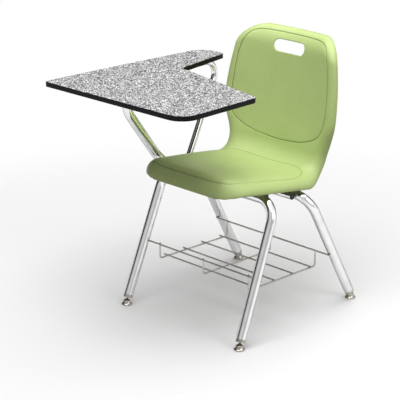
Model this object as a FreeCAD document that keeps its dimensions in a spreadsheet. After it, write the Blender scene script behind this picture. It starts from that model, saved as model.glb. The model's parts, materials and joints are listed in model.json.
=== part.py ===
import FreeCAD, Part
import math
import os

# Chair desk: a one-piece plastic shell on a bent steel tube frame, with a fixed
# writing tablet beside it, a wire book rack below and a swivel glide on each leg.
# Millimetres, +Z up. The sitter faces -Y and +X is the sitter's left.

V = FreeCAD.Vector
Turn = FreeCAD.Rotation
Place = FreeCAD.Placement
DOWN, UP, LEFT = V(0, 0, -1), V(0, 0, 1), V(1, 0, 0)

doc = FreeCAD.newDocument("ChairDesk")
sheet = doc.addObject("Spreadsheet::Sheet", "Sizes")

SIZES = [
    # stance and tubes
    ("foot_span_x", 460, "between left and right glide centres"),
    ("foot_span_y", 506, "between front and rear glide centres"),
    ("leg_od", 28.6, "leg and post tube, outside"),
    ("leg_wall", 1.6, "leg and post tube wall"),
    ("leg_bend", 60, "bend at the top of each leg, to the tube's middle"),
    ("front_run_half", 220, "half width of the front leg tube where leg and run would meet"),
    ("rear_run_half", 223, "half width of the rear leg tube where leg and run would meet"),
    ("front_run_s", 151.5, "front run, back from the seat's front edge"),
    ("rear_run_s", 296.5, "rear run, back from the seat's front edge"),
    ("frame_drop", 61, "tube runs below the seat sheet"),
    ("weld_gap", 0.05, "between pieces that are welded"),
    # tablet post and arm brace
    ("post_run_back", 32, "post run behind the front run"),
    ("post_bend", 60, "bends of the post"),
    ("post_low_x", 262, "post's lower corner, right of the middle"),
    ("post_top_x", 271, "post's upper run, right of the middle"),
    ("post_top_y", -257, "post's upper corner"),
    ("post_top_run", 190, "post's upper run"),
    ("post_run_end", 150, "post run's plugged end, left of the middle"),
    ("brace_od", 19, "arm brace tube, outside"),
    ("brace_wall", 1.5, "arm brace tube wall"),
    ("brace_bend", 38, "bends of the arm brace"),
    ("brace_sink", 4, "brace run below the rear run"),
    ("brace_low_x", 247, "brace's lower corner, right of the middle"),
    ("brace_top_x", 275, "brace's upper run, right of the middle"),
    ("brace_top_y", 207, "brace's upper corner"),
    ("brace_top_run", 170, "brace's upper run"),
    ("brace_run_end", 178, "brace run's plugged end, left of the middle"),
    ("plug_head", 3, "thickness of a tube plug's head"),
    ("plug_depth", 14, "length of a tube plug in its tube"),
    ("plug_gap", 0.05, "around a plug in its tube"),
    # shell
    ("seat_front_y", -233.5, "front edge of the seat sheet"),
    ("seat_front_z", 482.5, "height of the seat sheet at its front edge"),
    ("seat_slope", 8.8, "fall of the seat to the rear, degrees"),
    ("seat_depth", 359, "front edge to the line where seat and back would meet"),
    ("crease_bend", 49, "bend between seat and back"),
    ("back_lean", 8.8, "lean of the back, degrees"),
    ("back_top_z", 813.5, "top of the back"),
    ("shell_wall", 5, "shell wall"),
    ("seat_front_half", 187, "half width at the front edge"),
    ("seat_rear_half", 206, "half width at the rear of the seat"),
    ("waist_half", 185.5, "half width at the waist"),
    ("back_half", 215.5, "half width of the back"),
    ("top_half", 180.5, "half width at the top edge"),
    ("front_corner", 63.5, "plan radius of the front corners"),
    ("top_corner", 74, "radius of the back's upper corners"),
    ("front_roll", 28, "how far in the front edge starts to roll"),
    ("front_lip", 56, "how far down the front edge rolls"),
    ("side_roll", 70, "how far in a seat side starts to roll"),
    ("side_lip", 39, "how far down a seat side rolls"),
    ("back_roll", 26.5, "how far in a back side starts to roll"),
    ("back_lip", 23.5, "how far back a back side rolls"),
    ("top_roll", 60, "how far down the top edge starts to roll"),
    ("top_lip", 49, "how far back the top edge rolls"),
    ("flare_roll", 13.5, "how much wider the roll is beside the crease"),
    ("flare_lip", 14.5, "how much deeper the roll is beside the crease"),
    ("flare_up", 40, "middle of that wider roll, above the middle of the crease"),
    ("flare_long", 62.5, "how far along the sheet that wider roll fades"),
    ("waist_up", 11.5, "narrowest place above the middle of the crease"),
    ("seat_widest", 6, "widest place of the seat before the crease"),
    ("back_widest", 101, "widest place of the back above the crease"),
    ("dish_start", 120, "how far back the seat's hollow takes to form"),
    ("dish_fade", 150, "how far down the back's hollow takes to form"),
    ("dish_left", 126, "share of that length already passed at the top edge"),
    ("seat_dish", 5, "hollow of the seat"),
    ("back_dish", 36, "hollow of the back"),
    ("slot_drop", 53, "hand slot's middle below the top of the back"),
    ("slot_top", 125, "hand slot's upper width"),
    ("slot_low", 111, "hand slot's lower width"),
    ("slot_tall", 37, "hand slot's height"),
    ("slot_corner", 17, "hand slot's corner radius"),
    # seat rails and their screws
    ("rail_x", 112, "rails either side of the middle"),
    ("rail_wide", 26, "rail width"),
    ("rail_tall", 14, "rail height"),
    ("rail_wall", 2.5, "rail wall"),
    ("rail_over", 24, "rail past each leg run's middle"),
    ("rail_sink", 3, "how deep the rail saddles sit over the tubes"),
    ("boss_d", 24, "moulded boss under the seat"),
    ("boss_inset", 28, "boss to the nearest leg run"),
    ("screw_d", 6, "seat screw shank"),
    ("screw_head", 12, "seat screw head"),
    ("screw_head_tall", 4, "seat screw head height"),
    ("screw_bite", 9, "seat screw length in the boss"),
    ("screw_gap", 0.1, "around a screw in its own thread"),
    ("screw_pass", 0.4, "around a screw in a plain hole"),
    ("screw_room", 0.5, "bore past a screw's tip"),
    ("cut_past", 1, "how far a cut runs past the piece it opens"),
    # tablet
    ("tablet_z", 700, "height of the writing surface"),
    ("core_tall", 13, "board of the tablet"),
    ("laminate_tall", 0.9, "laminate on the writing surface"),
    ("backer_tall", 0.7, "sheet under the board"),
    ("edge_thick", 1, "face of the edge strip"),
    ("barb_deep", 8, "edge strip's barb in the board"),
    ("barb_tall", 2, "edge strip's barb"),
    ("barb_gap", 0.1, "around the barb"),
    ("tablet_front_y", -408, "outer front corner"),
    ("tablet_front_in_y", -395, "inner front corner"),
    ("tablet_outer_x", -396, "outer front corner"),
    ("tablet_inner_x", 147, "inner front corner"),
    ("tablet_rear_x", 159, "inner rear corner"),
    ("tablet_rear_y", -108, "inner rear corner"),
    ("notch_x", -208, "corner between surface and arm rest"),
    ("notch_y", -31, "corner between surface and arm rest"),
    ("arm_end_y", 181, "end of the arm rest"),
    ("arm_inner_x", -233, "inner corner of the arm rest's end"),
    ("arm_outer_x", -323, "outer corner of the arm rest's end"),
    ("outer_mid_x", -364, "where the outer edge turns a little"),
    ("outer_mid_y", -125, "where the outer edge turns a little"),
    ("outer_round", 10, "radius of the outer front corner"),
    ("inner_round", 58, "radius of the inner front corner"),
    ("rear_round", 18, "radius of the inner rear corner"),
    ("notch_round", 16, "radius between surface and arm rest"),
    ("arm_inner_round", 12, "radius of the arm rest's inner corner"),
    ("arm_outer_round", 62, "radius of the arm rest's outer corner"),
    ("outer_mid_round", 900, "radius where the outer edge turns a little"),
    ("plate_thick", 4, "plates on top of post and brace"),
    ("plate_sink", 1, "how deep a plate's groove sits over its tube"),
    ("plate_long", 96, "front plate length"),
    ("plate_wide", 70, "front plate width"),
    ("arm_plate_long", 84, "arm plate length"),
    ("arm_plate_wide", 52, "arm plate width"),
    ("plate_hole_edge", 10, "screw centre to a plate's edge"),
    ("wood_screw_d", 4.5, "tablet screw shank"),
    ("wood_screw_head", 9, "tablet screw head"),
    ("wood_screw_head_tall", 3, "tablet screw head height"),
    ("wood_screw_bite", 11, "tablet screw length in the board"),
    # book rack
    ("wire_d", 5, "rack wire"),
    ("rack_front_z", 184, "front rail of the rack"),
    ("rack_rear_z", 171, "rear rail of the rack"),
    ("rack_drop", 47, "floor wires below the rails"),
    ("rack_cross_x", 179, "outer cross wires either side of the middle"),
    ("rack_floor_half", 188, "half length of the floor wires"),
    ("rack_rail_half", 231, "half length of the rack rails"),
    ("rack_bend", 9, "bends of the cross wires"),
    ("rack_inset", 26, "first floor wire behind the front upright of the cross wires"),
    # glides
    ("ball_d", 14, "ball of a glide stud"),
    ("ball_z", 12, "height of the ball's middle"),
    ("ball_gap", 0.05, "around the ball in its socket"),
    ("socket_over", 2.6, "how far the socket holds past the ball's middle"),
    ("liner_d", 16, "socket liner that holds the ball"),
    ("liner_over", 1, "how far the liner reaches past the ball's middle"),
    ("liner_gap", 0.05, "around the liner in its foot"),
    ("neck_d", 6, "neck of a glide stud"),
    ("shank_d", 9, "shank of a glide stud"),
    ("shank_long", 20, "shank of a glide stud"),
    ("shank_gap", 0.05, "around the shank in its cap"),
    ("cap_up", 11, "cap above the ball's middle, along the leg"),
    ("cap_tall", 10, "cap below the tube's end"),
    ("cap_plug", 22, "cap's plug in the tube"),
    ("cap_gap", 0.05, "around the cap's plug"),
    ("foot_d", 32, "glide foot across its rim"),
    ("foot_rim", 3, "height of the glide foot's rim"),
    ("foot_neck", 18.5, "glide foot across its top"),
    ("foot_base", 28, "glide foot's cone above its rim"),
    ("pad_d", 28, "base pad"),
    ("pad_tall", 2.5, "base pad"),
    ("pad_proud", 1, "how far the base pad stands out of the foot"),
    ("pad_gap", 0.1, "around the base pad"),
]

for row, (alias, value, note) in enumerate(SIZES, 1):
    sheet.set("A%d" % row, note)
    sheet.set("B%d" % row, str(value))
    sheet.setAlias("B%d" % row, alias)
doc.recompute()


def size(alias):
    return float(sheet.get(alias))


# The frame's origin is on the floor, under the middle of the overall box.
FOOT_X = size("foot_span_x") / 2
FOOT_Y = size("foot_span_y") / 2
SHIFT_X = -(size("tablet_outer_x") + FOOT_X + size("foot_d") / 2) / 2
SHIFT_Y = -(size("tablet_front_y") + FOOT_Y + size("foot_d") / 2) / 2


def at(x, y, z):
    """A point given from the chair's own middle."""
    return V(x + SHIFT_X, y + SHIFT_Y, z)


SLOPE = math.radians(size("seat_slope"))
LEAN = math.radians(size("back_lean"))
SEAT_TURN = Turn(LEFT, -size("seat_slope"))
SEAT_UP = V(0, math.sin(SLOPE), math.cos(SLOPE))
ALONG_X = Turn(UP, LEFT)


def seat(x, back, up):
    """A point given from the seat's front edge: back along the sheet and square to it."""
    y = size("seat_front_y") + back * math.cos(SLOPE) + up * math.sin(SLOPE)
    z = size("seat_front_z") - back * math.sin(SLOPE) + up * math.cos(SLOPE)
    return at(x, y, z)


nodes = []


def node(label, thing):
    thing.Label = label
    nodes.append(thing)
    return thing


def cylinder(name, base, turn, radius, height):
    thing = doc.addObject("Part::Cylinder", name)
    thing.setExpression("Radius", radius)
    thing.setExpression("Height", height)
    thing.Placement = Place(base, turn)
    return thing


def box(name, base, turn, length, width, height):
    thing = doc.addObject("Part::Box", name)
    thing.setExpression("Length", length)
    thing.setExpression("Width", width)
    thing.setExpression("Height", height)
    thing.Placement = Place(base, turn)
    return thing


def fuse(name, things):
    if len(things) == 1:
        return things[0]
    thing = doc.addObject("Part::MultiFuse", name)
    thing.Shapes = things
    return thing


def cut(name, base, tools):
    thing = doc.addObject("Part::Cut", name)
    thing.Base = base
    thing.Tool = fuse(name + "_tools", tools)
    return thing


def group(name, things):
    thing = doc.addObject("Part::Compound", name)
    thing.Links = things
    return thing


def unit(vector):
    return V(vector).normalize()


def bent_edges(points, radii):
    """Straight lengths from point to point, joined by tangent arcs."""
    edges = []
    start = points[0]
    for before, corner, after, radius in zip(points, points[1:], points[2:], radii):
        come = unit(before - corner)
        go = unit(after - corner)
        half = come.getAngle(go) / 2
        middle = unit(come + go)
        reach = radius / math.tan(half)
        enter = corner + come * reach
        leave = corner + go * reach
        top = corner + middle * (radius / math.sin(half) - radius)
        edges.append(Part.makeLine(start, enter))
        edges.append(Part.Arc(enter, top, leave).toShape())
        start = leave
    edges.append(Part.makeLine(start, points[-1]))
    return edges


def swept(name, spine, start, heading, radius):
    ring = doc.addObject("Part::Circle", name + "_ring")
    ring.setExpression("Radius", radius)
    ring.Placement = Place(start, Turn(UP, heading))
    thing = doc.addObject("Part::Sweep", name)
    thing.Sections = [ring]
    thing.Spine = (spine, ["Edge%d" % (i + 1) for i in range(len(spine.Shape.Edges))])
    thing.Solid = True
    thing.Frenet = False
    return thing


def spine_of(name, points, radii):
    spine = doc.addObject("Part::Feature", name + "_line")
    spine.Shape = Part.Wire(bent_edges(points, radii))
    return spine


def tube(label, points, radii, outside, wall):
    """A round tube along a bent line, open at both ends."""
    spine = spine_of(label, points, radii)
    heading = points[1] - points[0]
    skin = swept(label + "_skin", spine, points[0], heading, "%s / 2" % outside)
    bore = swept(label + "_bore", spine, points[0], heading, "%s / 2 - %s" % (outside, wall))
    return node(label, cut(label, skin, [bore]))


def rod(label, points, radii):
    """A rack wire along a bent line."""
    if len(points) == 2:
        length = points[0].distanceToPoint(points[1])
        thing = doc.addObject("Part::Cylinder", label)
        thing.setExpression("Radius", "Sizes.wire_d / 2")
        thing.Height = length
        thing.Placement = Place(points[0], Turn(UP, points[1] - points[0]))
        return node(label, thing)
    spine = spine_of(label, points, radii)
    return node(label, swept(label, spine, points[0], points[1] - points[0], "Sizes.wire_d / 2"))


def sketch_of(name, corners, place):
    """A closed outline with a radius at each corner, drawn in a plane."""
    count = len(corners)
    pieces = []
    for i in range(count):
        before = V(*corners[i - 1][:2], 0)
        corner = V(*corners[i][:2], 0)
        after = V(*corners[(i + 1) % count][:2], 0)
        radius = corners[i][2]
        come = unit(before - corner)
        go = unit(after - corner)
        half = come.getAngle(go) / 2
        reach = radius / math.tan(half)
        top = corner + unit(come + go) * (radius / math.sin(half) - radius)
        pieces.append((corner + come * reach, top, corner + go * reach))
    sketch = doc.addObject("Sketcher::SketchObject", name)
    for i in range(count):
        enter, top, leave = pieces[i]
        sketch.addGeometry(Part.Arc(enter, top, leave), False)
        sketch.addGeometry(Part.LineSegment(leave, pieces[(i + 1) % count][0]), False)
    sketch.Placement = place
    return sketch


def raised(name, outline, height, direction=UP):
    """A closed outline made solid along a direction."""
    thing = doc.addObject("Part::Extrusion", name)
    thing.Base = outline
    thing.DirMode = "Custom"
    thing.Dir = direction
    thing.setExpression("LengthFwd", height)
    thing.Solid = True
    return thing


def inset(name, outline, amount):
    thing = doc.addObject("Part::Offset2D", name)
    thing.Source = outline
    thing.Join = "Intersection"
    thing.setExpression("Value", amount)
    return thing


# Leg tubes: each pair of legs is one tube, bent down from a run under the seat.
# A leg's middle line passes through the ball of its glide.
LEG_R = size("leg_od") / 2
BALL_Z = size("ball_z")
TUBE_END = size("cap_up") + size("cap_tall")


def leg_line(side, end):
    """The ball's middle, and the corner where the leg would meet its run."""
    if end == "front":
        top = seat(side * size("front_run_half"), size("front_run_s"), -size("frame_drop"))
        return at(side * FOOT_X, -FOOT_Y, BALL_Z), top
    top = seat(side * size("rear_run_half"), size("rear_run_s"), -size("frame_drop"))
    return at(side * FOOT_X, FOOT_Y, BALL_Z), top


def leg_tube(label, end):
    left_ball, left_top = leg_line(1, end)
    right_ball, right_top = leg_line(-1, end)
    left_end = left_ball + unit(left_top - left_ball) * TUBE_END
    right_end = right_ball + unit(right_top - right_ball) * TUBE_END
    radii = [size("leg_bend")] * 2
    return tube(label, [left_end, left_top, right_top, right_end], radii, "Sizes.leg_od", "Sizes.leg_wall")


leg_tube("front_leg_tube", "front")
leg_tube("rear_leg_tube", "rear")


# Shell. The sheet runs flat along the seat, round the crease and flat up the back.
# Inside its outline it is dished, and round its rim it rolls away from the sitter.
CREASE = size("crease_bend")
SEAT_DIR = V(0, math.cos(SLOPE), -math.sin(SLOPE))
BACK_DIR = V(0, math.sin(LEAN), math.cos(LEAN))
BACK_OUT = V(0, -math.cos(LEAN), math.sin(LEAN))
CREASE_TURN = SEAT_DIR.getAngle(BACK_DIR)
CREASE_REACH = CREASE * math.tan(CREASE_TURN / 2)
FRONT = seat(0, 0, 0)
MEET = FRONT + SEAT_DIR * (size("seat_depth") / math.cos(SLOPE))
SEAT_END = FRONT.distanceToPoint(MEET) - CREASE_REACH
BACK_START = SEAT_END + CREASE * CREASE_TURN
BACK_FOOT = MEET + BACK_DIR * CREASE_REACH
SHEET_END = BACK_START + (size("back_top_z") - BACK_FOOT.z) / math.cos(LEAN)
MID_BACK = BACK_START + size("back_widest")
WAIST = (SEAT_END + BACK_START) / 2 + size("waist_up")
SEAT_WIDEST = SEAT_END - size("seat_widest")


def smooth(share):
    share = min(max(share, 0.0), 1.0)
    return share * share * (3 - 2 * share)


def mix(low, high, share):
    return low + (high - low) * share


def sheet_frame(along):
    """The sheet's middle line: its point, its direction and the way to the sitter."""
    if along <= SEAT_END:
        return FRONT + SEAT_DIR * along, SEAT_DIR, SEAT_UP
    if along >= BACK_START:
        return BACK_FOOT + BACK_DIR * (along - BACK_START), BACK_DIR, BACK_OUT
    angle = (along - SEAT_END) / CREASE
    centre = FRONT + SEAT_DIR * SEAT_END + SEAT_UP * CREASE
    out = SEAT_UP * math.cos(angle) - SEAT_DIR * math.sin(angle)
    heading = SEAT_DIR * math.cos(angle) + SEAT_UP * math.sin(angle)
    return centre - out * CREASE, heading, out


def sheet_half(along):
    """Half width of the outline, before its corners are rounded."""
    if along < SEAT_WIDEST:
        share = 1 - math.cos((1 - along / SEAT_WIDEST) * math.pi / 2)
        return mix(size("seat_rear_half"), size("seat_front_half"), share)
    if along < WAIST:
        share = smooth((along - SEAT_WIDEST) / (WAIST - SEAT_WIDEST))
        return mix(size("seat_rear_half"), size("waist_half"), share)
    if along < MID_BACK:
        return mix(size("waist_half"), size("back_half"), smooth((along - WAIST) / (MID_BACK - WAIST)))
    share = 1 - math.cos((along - MID_BACK) / (SHEET_END - MID_BACK) * math.pi / 2)
    return mix(size("back_half"), size("top_half"), share)


def corner_loss(distance, radius):
    """How much a rounded corner narrows the outline, at a distance from the edge."""
    gap = max(radius - distance, 0.0)
    return radius - math.sqrt(max(radius * radius - gap * gap, 0.0))


def rim_half(along):
    lost = corner_loss(along, size("front_corner")) + corner_loss(SHEET_END - along, size("top_corner"))
    return sheet_half(along) - lost


def side_roll(along):
    """Width and depth of a side's roll, and how far the sheet has turned into the back."""
    share = smooth((along - SEAT_END) / (BACK_START - SEAT_END))
    from_flare = along - (SEAT_END + BACK_START) / 2 - size("flare_up")
    flare = math.exp(-((from_flare / size("flare_long")) ** 2))
    roll = mix(size("side_roll"), size("back_roll"), share) + size("flare_roll") * flare
    lip = mix(size("side_lip"), size("back_lip"), share) + size("flare_lip") * flare
    return roll, lip, share


def sheet_point(across, along):
    """A point of the sitter's face and the way out of the plastic there."""
    half = sheet_half(along)
    roll, lip, share = side_roll(along)
    if along < WAIST:
        corner, edge, sign = size("front_corner"), along, 1
        end_roll, end_lip = size("front_roll"), size("front_lip")
    else:
        corner, edge, sign = size("top_corner"), SHEET_END - along, -1
        end_roll, end_lip = size("top_roll"), size("top_lip")
    past_side = abs(across) - (half - corner)
    past_end = corner - edge
    side = 1 if across >= 0 else -1
    if past_side > 0 and past_end > 0:
        reach = math.hypot(past_side, past_end)
        inside = corner - reach
        inward = (-side * past_side / reach, sign * past_end / reach)
        turn = smooth(math.atan2(past_end, past_side) / (math.pi / 2))
    elif edge < half - abs(across):
        inside, inward, turn = edge, (0.0, sign), 1.0
    else:
        inside, inward, turn = half - abs(across), (-side, 0.0), 0.0
    roll = mix(roll, end_roll, turn)
    lip = mix(lip, end_lip, turn)
    near = min(max(1 - inside / roll, 0.0), 1.0)
    level = math.sqrt(max(1 - near * near, 0.0))
    seat_part = size("seat_dish") * smooth(along / size("dish_start")) * (1 - share)
    below_top = SHEET_END - along + size("dish_left")
    back_part = size("back_dish") * share * smooth(below_top / size("dish_fade"))
    hollow = (seat_part + back_part) * max(1 - (across / half) ** 2, 0.0)
    hollow_slope = -2 * (seat_part + back_part) * across / half ** 2
    place, heading, out = sheet_frame(along)
    face = place + LEFT * across + out * (-hollow - lip * (1 - level))
    steep = lip / roll * near
    normal = out * level - (LEFT * inward[0] + heading * inward[1]) * steep + LEFT * (hollow_slope * level)
    return V(face), unit(normal)


# How many rows and steps the sheet is drawn with.
END_COUNT, MIDDLE_COUNT, FLAT_COUNT, ROLL_COUNT = 7, 28, 6, 6


def rows_along():
    """Distances along the sheet, close together in the rounded ends."""
    bends = [1 - math.cos(i / END_COUNT * math.pi / 2) for i in range(END_COUNT + 1)]
    front = [size("front_corner") * bend for bend in bends]
    top = [SHEET_END - size("top_corner") * bend for bend in bends]
    between = [mix(front[-1], top[-1], i / MIDDLE_COUNT) for i in range(1, MIDDLE_COUNT)]
    return front + between + top[::-1]


def shares_across(along):
    """Distances across the sheet at one row, close together in the rolled rim."""
    half = rim_half(along)
    roll = min(side_roll(along)[0], half / 2)
    steps = [(half - roll) * i / FLAT_COUNT for i in range(FLAT_COUNT)]
    steps += [half - roll * (1 - math.sin(i / ROLL_COUNT * math.pi / 2)) for i in range(ROLL_COUNT + 1)]
    return [-step for step in steps[:0:-1]] + steps


def even_knots(count):
    """How often each knot counts, and the knots, for a row of poles."""
    spans = count - 3
    return [4] + [1] * (spans - 1) + [4], list(range(spans + 1))


def draped(rows):
    """A smooth surface led by a grid of points."""
    counts_along, knots_along = even_knots(len(rows))
    counts_across, knots_across = even_knots(len(rows[0]))
    surface = Part.BSplineSurface()
    surface.buildFromPolesMultsKnots(rows, counts_along, counts_across, knots_along, knots_across,
                                     False, False, 3, 3)
    return surface


def shell_blank():
    face_rows, under_rows = [], []
    for along in rows_along():
        pairs = [sheet_point(across, along) for across in shares_across(along)]
        face_rows.append([point for point, way in pairs])
        under_rows.append([point - way * size("shell_wall") for point, way in pairs])
    surfaces = []
    for rows in (face_rows, under_rows):
        surfaces.append(draped(rows))
    face, under = surfaces
    walls = []
    for name in ("uIso", "vIso"):
        for last in (0, 1):
            edges = []
            for surface in (face, under):
                bounds = surface.bounds()
                value = bounds[last] if name == "uIso" else bounds[2 + last]
                edges.append(getattr(surface, name)(value).toShape())
            walls.append(Part.makeRuledSurface(edges[0], edges[1]))
    skin = Part.Shell([face.toShape(), under.toShape()] + walls)
    skin.sewShape()
    solid = Part.Solid(skin)
    if solid.Volume < 0:
        solid.reverse()
    return solid


blank = doc.addObject("Part::Feature", "shell_blank")
blank.Shape = shell_blank()

# Hand slot near the top of the back, square to the back.
slot_z = size("back_top_z") - size("slot_drop")
slot_middle = BACK_FOOT + BACK_DIR * ((slot_z - BACK_FOOT.z) / math.cos(LEAN))
slot_tall = size("slot_tall") / 2
slot_corners = [
    (-size("slot_top") / 2, slot_tall, size("slot_corner")),
    (size("slot_top") / 2, slot_tall, size("slot_corner")),
    (size("slot_low") / 2, -slot_tall, size("slot_corner")),
    (-size("slot_low") / 2, -slot_tall, size("slot_corner")),
]
slot_start = slot_middle + BACK_OUT * size("crease_bend")
slot_turn = Turn(LEFT, BACK_DIR, BACK_OUT, "XYZ")
slot_outline = sketch_of("slot_outline", slot_corners, Place(slot_start, slot_turn))
slot = raised("slot", slot_outline, "Sizes.crease_bend + Sizes.back_dish + 4 * Sizes.top_lip", -BACK_OUT)

# Seat rails: channels saddled over the tube runs, with the shell's bosses on top.
PAST = size("cut_past")
RAIL_LOW = LEG_R - size("frame_drop") - size("rail_sink")
RAIL_TOP = RAIL_LOW + size("rail_tall")
RAIL_START = size("front_run_s") - size("rail_over")
POST_S = size("front_run_s") + size("post_run_back")
BOSS_S = (POST_S + size("boss_inset"), size("rear_run_s") - 2 * size("boss_inset"))
rail_length = "Sizes.rear_run_s - Sizes.front_run_s + 2 * Sizes.rail_over"

bosses, boss_bores, screws = [], [], []
for side, side_name in ((1, "left"), (-1, "right")):
    rail = "seat_rail_" + side_name
    low_x = side * size("rail_x") - size("rail_wide") / 2
    bar = box(rail + "_bar", seat(low_x, RAIL_START, RAIL_LOW), SEAT_TURN,
              "Sizes.rail_wide", rail_length, "Sizes.rail_tall")
    hollow_start = seat(low_x + size("rail_wall"), RAIL_START - PAST, RAIL_LOW - PAST)
    hollow = box(rail + "_hollow", hollow_start, SEAT_TURN, "Sizes.rail_wide - 2 * Sizes.rail_wall",
                 rail_length + " + 2 * Sizes.cut_past",
                 "Sizes.rail_tall - Sizes.rail_wall + Sizes.cut_past")
    away = [hollow]
    for name, back in (("front", size("front_run_s")), ("post", POST_S), ("rear", size("rear_run_s"))):
        saddle_start = seat(low_x - PAST, back, -size("frame_drop"))
        away.append(cylinder(rail + "_saddle_" + name, saddle_start, ALONG_X,
                             "Sizes.leg_od / 2 + Sizes.weld_gap", "Sizes.rail_wide + 2 * Sizes.cut_past"))
    for end_name, back in zip(("front", "rear"), BOSS_S):
        tag = "%s_%s" % (side_name, end_name)
        x = side * size("rail_x")
        away.append(cylinder(rail + "_hole_" + end_name, seat(x, back, RAIL_LOW - PAST), SEAT_TURN,
                             "Sizes.screw_d / 2 + Sizes.screw_pass", "Sizes.rail_tall + 2 * Sizes.cut_past"))
        face, way = sheet_point(x, back)
        boss_tall = (face - seat(x, back, RAIL_TOP)).dot(SEAT_UP) - size("shell_wall") / 2
        boss = cylinder("boss_" + tag, seat(x, back, RAIL_TOP), SEAT_TURN, "Sizes.boss_d / 2", "1")
        boss.setExpression("Height", None)
        boss.Height = boss_tall
        bosses.append(boss)
        boss_bores.append(cylinder("boss_bore_" + tag, seat(x, back, RAIL_TOP - PAST), SEAT_TURN,
                                   "Sizes.screw_d / 2 + Sizes.screw_gap",
                                   "Sizes.screw_bite + Sizes.screw_room + Sizes.cut_past"))
        under_web = RAIL_TOP - size("rail_wall")
        shank = cylinder("seat_screw_shank_" + tag, seat(x, back, under_web), SEAT_TURN,
                         "Sizes.screw_d / 2", "Sizes.rail_wall + Sizes.screw_bite")
        head_low = seat(x, back, under_web - size("screw_head_tall"))
        head = cylinder("seat_screw_head_" + tag, head_low, SEAT_TURN,
                        "Sizes.screw_head / 2", "Sizes.screw_head_tall")
        screws.append(fuse("seat_screw_" + tag, [shank, head]))
    node(rail, cut(rail, bar, away))

shell_body = fuse("shell_body", [blank] + bosses)
node("seat_shell", cut("seat_shell", shell_body, [slot] + boss_bores))
node("seat_screws", group("seat_screws", screws))

# Tablet post and arm brace: each runs across under the seat, turns up beside it
# and turns back along the underside of the tablet. Black plugs close their ends.
UNDER_TABLET = size("tablet_z") - size("laminate_tall") - size("core_tall") - size("backer_tall")
UNDER_PLATE = UNDER_TABLET - size("plate_thick")
POST_TOP = UNDER_PLATE - LEG_R + size("plate_sink")
BRACE_R = size("brace_od") / 2
BRACE_TOP = UNDER_PLATE - BRACE_R + size("plate_sink")
RUN_APART = LEG_R + BRACE_R + size("weld_gap")
BRACE_S = size("rear_run_s") - math.sqrt(RUN_APART ** 2 - size("brace_sink") ** 2)
BRACE_N = -size("frame_drop") - size("brace_sink")
post_points = [
    seat(size("post_run_end"), POST_S, -size("frame_drop")),
    seat(-size("post_low_x"), POST_S, -size("frame_drop")),
    at(-size("post_top_x"), size("post_top_y"), POST_TOP),
    at(-size("post_top_x"), size("post_top_y") + size("post_top_run"), POST_TOP),
]
brace_points = [
    seat(size("brace_run_end"), BRACE_S, BRACE_N),
    seat(-size("brace_low_x"), BRACE_S, BRACE_N),
    at(-size("brace_top_x"), size("brace_top_y"), BRACE_TOP),
    at(-size("brace_top_x"), size("brace_top_y") - size("brace_top_run"), BRACE_TOP),
]
tube("tablet_post", post_points, [size("post_bend")] * 2, "Sizes.leg_od", "Sizes.leg_wall")
tube("arm_brace", brace_points, [size("brace_bend")] * 2, "Sizes.brace_od", "Sizes.brace_wall")


def tube_plug(label, end, inner, outside, wall):
    """A plug whose head covers a tube's end."""
    out = unit(end - inner)
    turn = Turn(UP, out)
    head = cylinder(label + "_head", end, turn, "%s / 2" % outside, "Sizes.plug_head")
    core = cylinder(label + "_core", end - out * size("plug_depth"), turn,
                    "%s / 2 - %s - Sizes.plug_gap" % (outside, wall), "Sizes.plug_depth")
    return node(label, fuse(label, [head, core]))


tube_plug("post_plug_low", post_points[0], post_points[1], "Sizes.leg_od", "Sizes.leg_wall")
tube_plug("post_plug_top", post_points[-1], post_points[-2], "Sizes.leg_od", "Sizes.leg_wall")
tube_plug("brace_plug_low", brace_points[0], brace_points[1], "Sizes.brace_od", "Sizes.brace_wall")
tube_plug("brace_plug_top", brace_points[-1], brace_points[-2], "Sizes.brace_od", "Sizes.brace_wall")

# Tablet: board with laminate above, backer below and a black strip round its edge.
tablet_corners = [
    (size("tablet_outer_x"), size("tablet_front_y"), size("outer_round")),
    (size("tablet_inner_x"), size("tablet_front_in_y"), size("inner_round")),
    (size("tablet_rear_x"), size("tablet_rear_y"), size("rear_round")),
    (size("notch_x"), size("notch_y"), size("notch_round")),
    (size("arm_inner_x"), size("arm_end_y"), size("arm_inner_round")),
    (size("arm_outer_x"), size("arm_end_y"), size("arm_outer_round")),
    (size("outer_mid_x"), size("outer_mid_y"), size("outer_mid_round")),
]
backer_low = UNDER_TABLET
core_low = backer_low + size("backer_tall")
core_top = core_low + size("core_tall")
barb_low = core_low + size("core_tall") / 2 - size("barb_tall") / 2


def tablet_outline(name, z):
    return sketch_of(name, tablet_corners, Place(at(0, 0, z), Turn()))


def tablet_layer(label, z, height, amount):
    outline = tablet_outline(label + "_outline", z)
    return raised(label, inset(label + "_inset", outline, "-" + amount), height)


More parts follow.
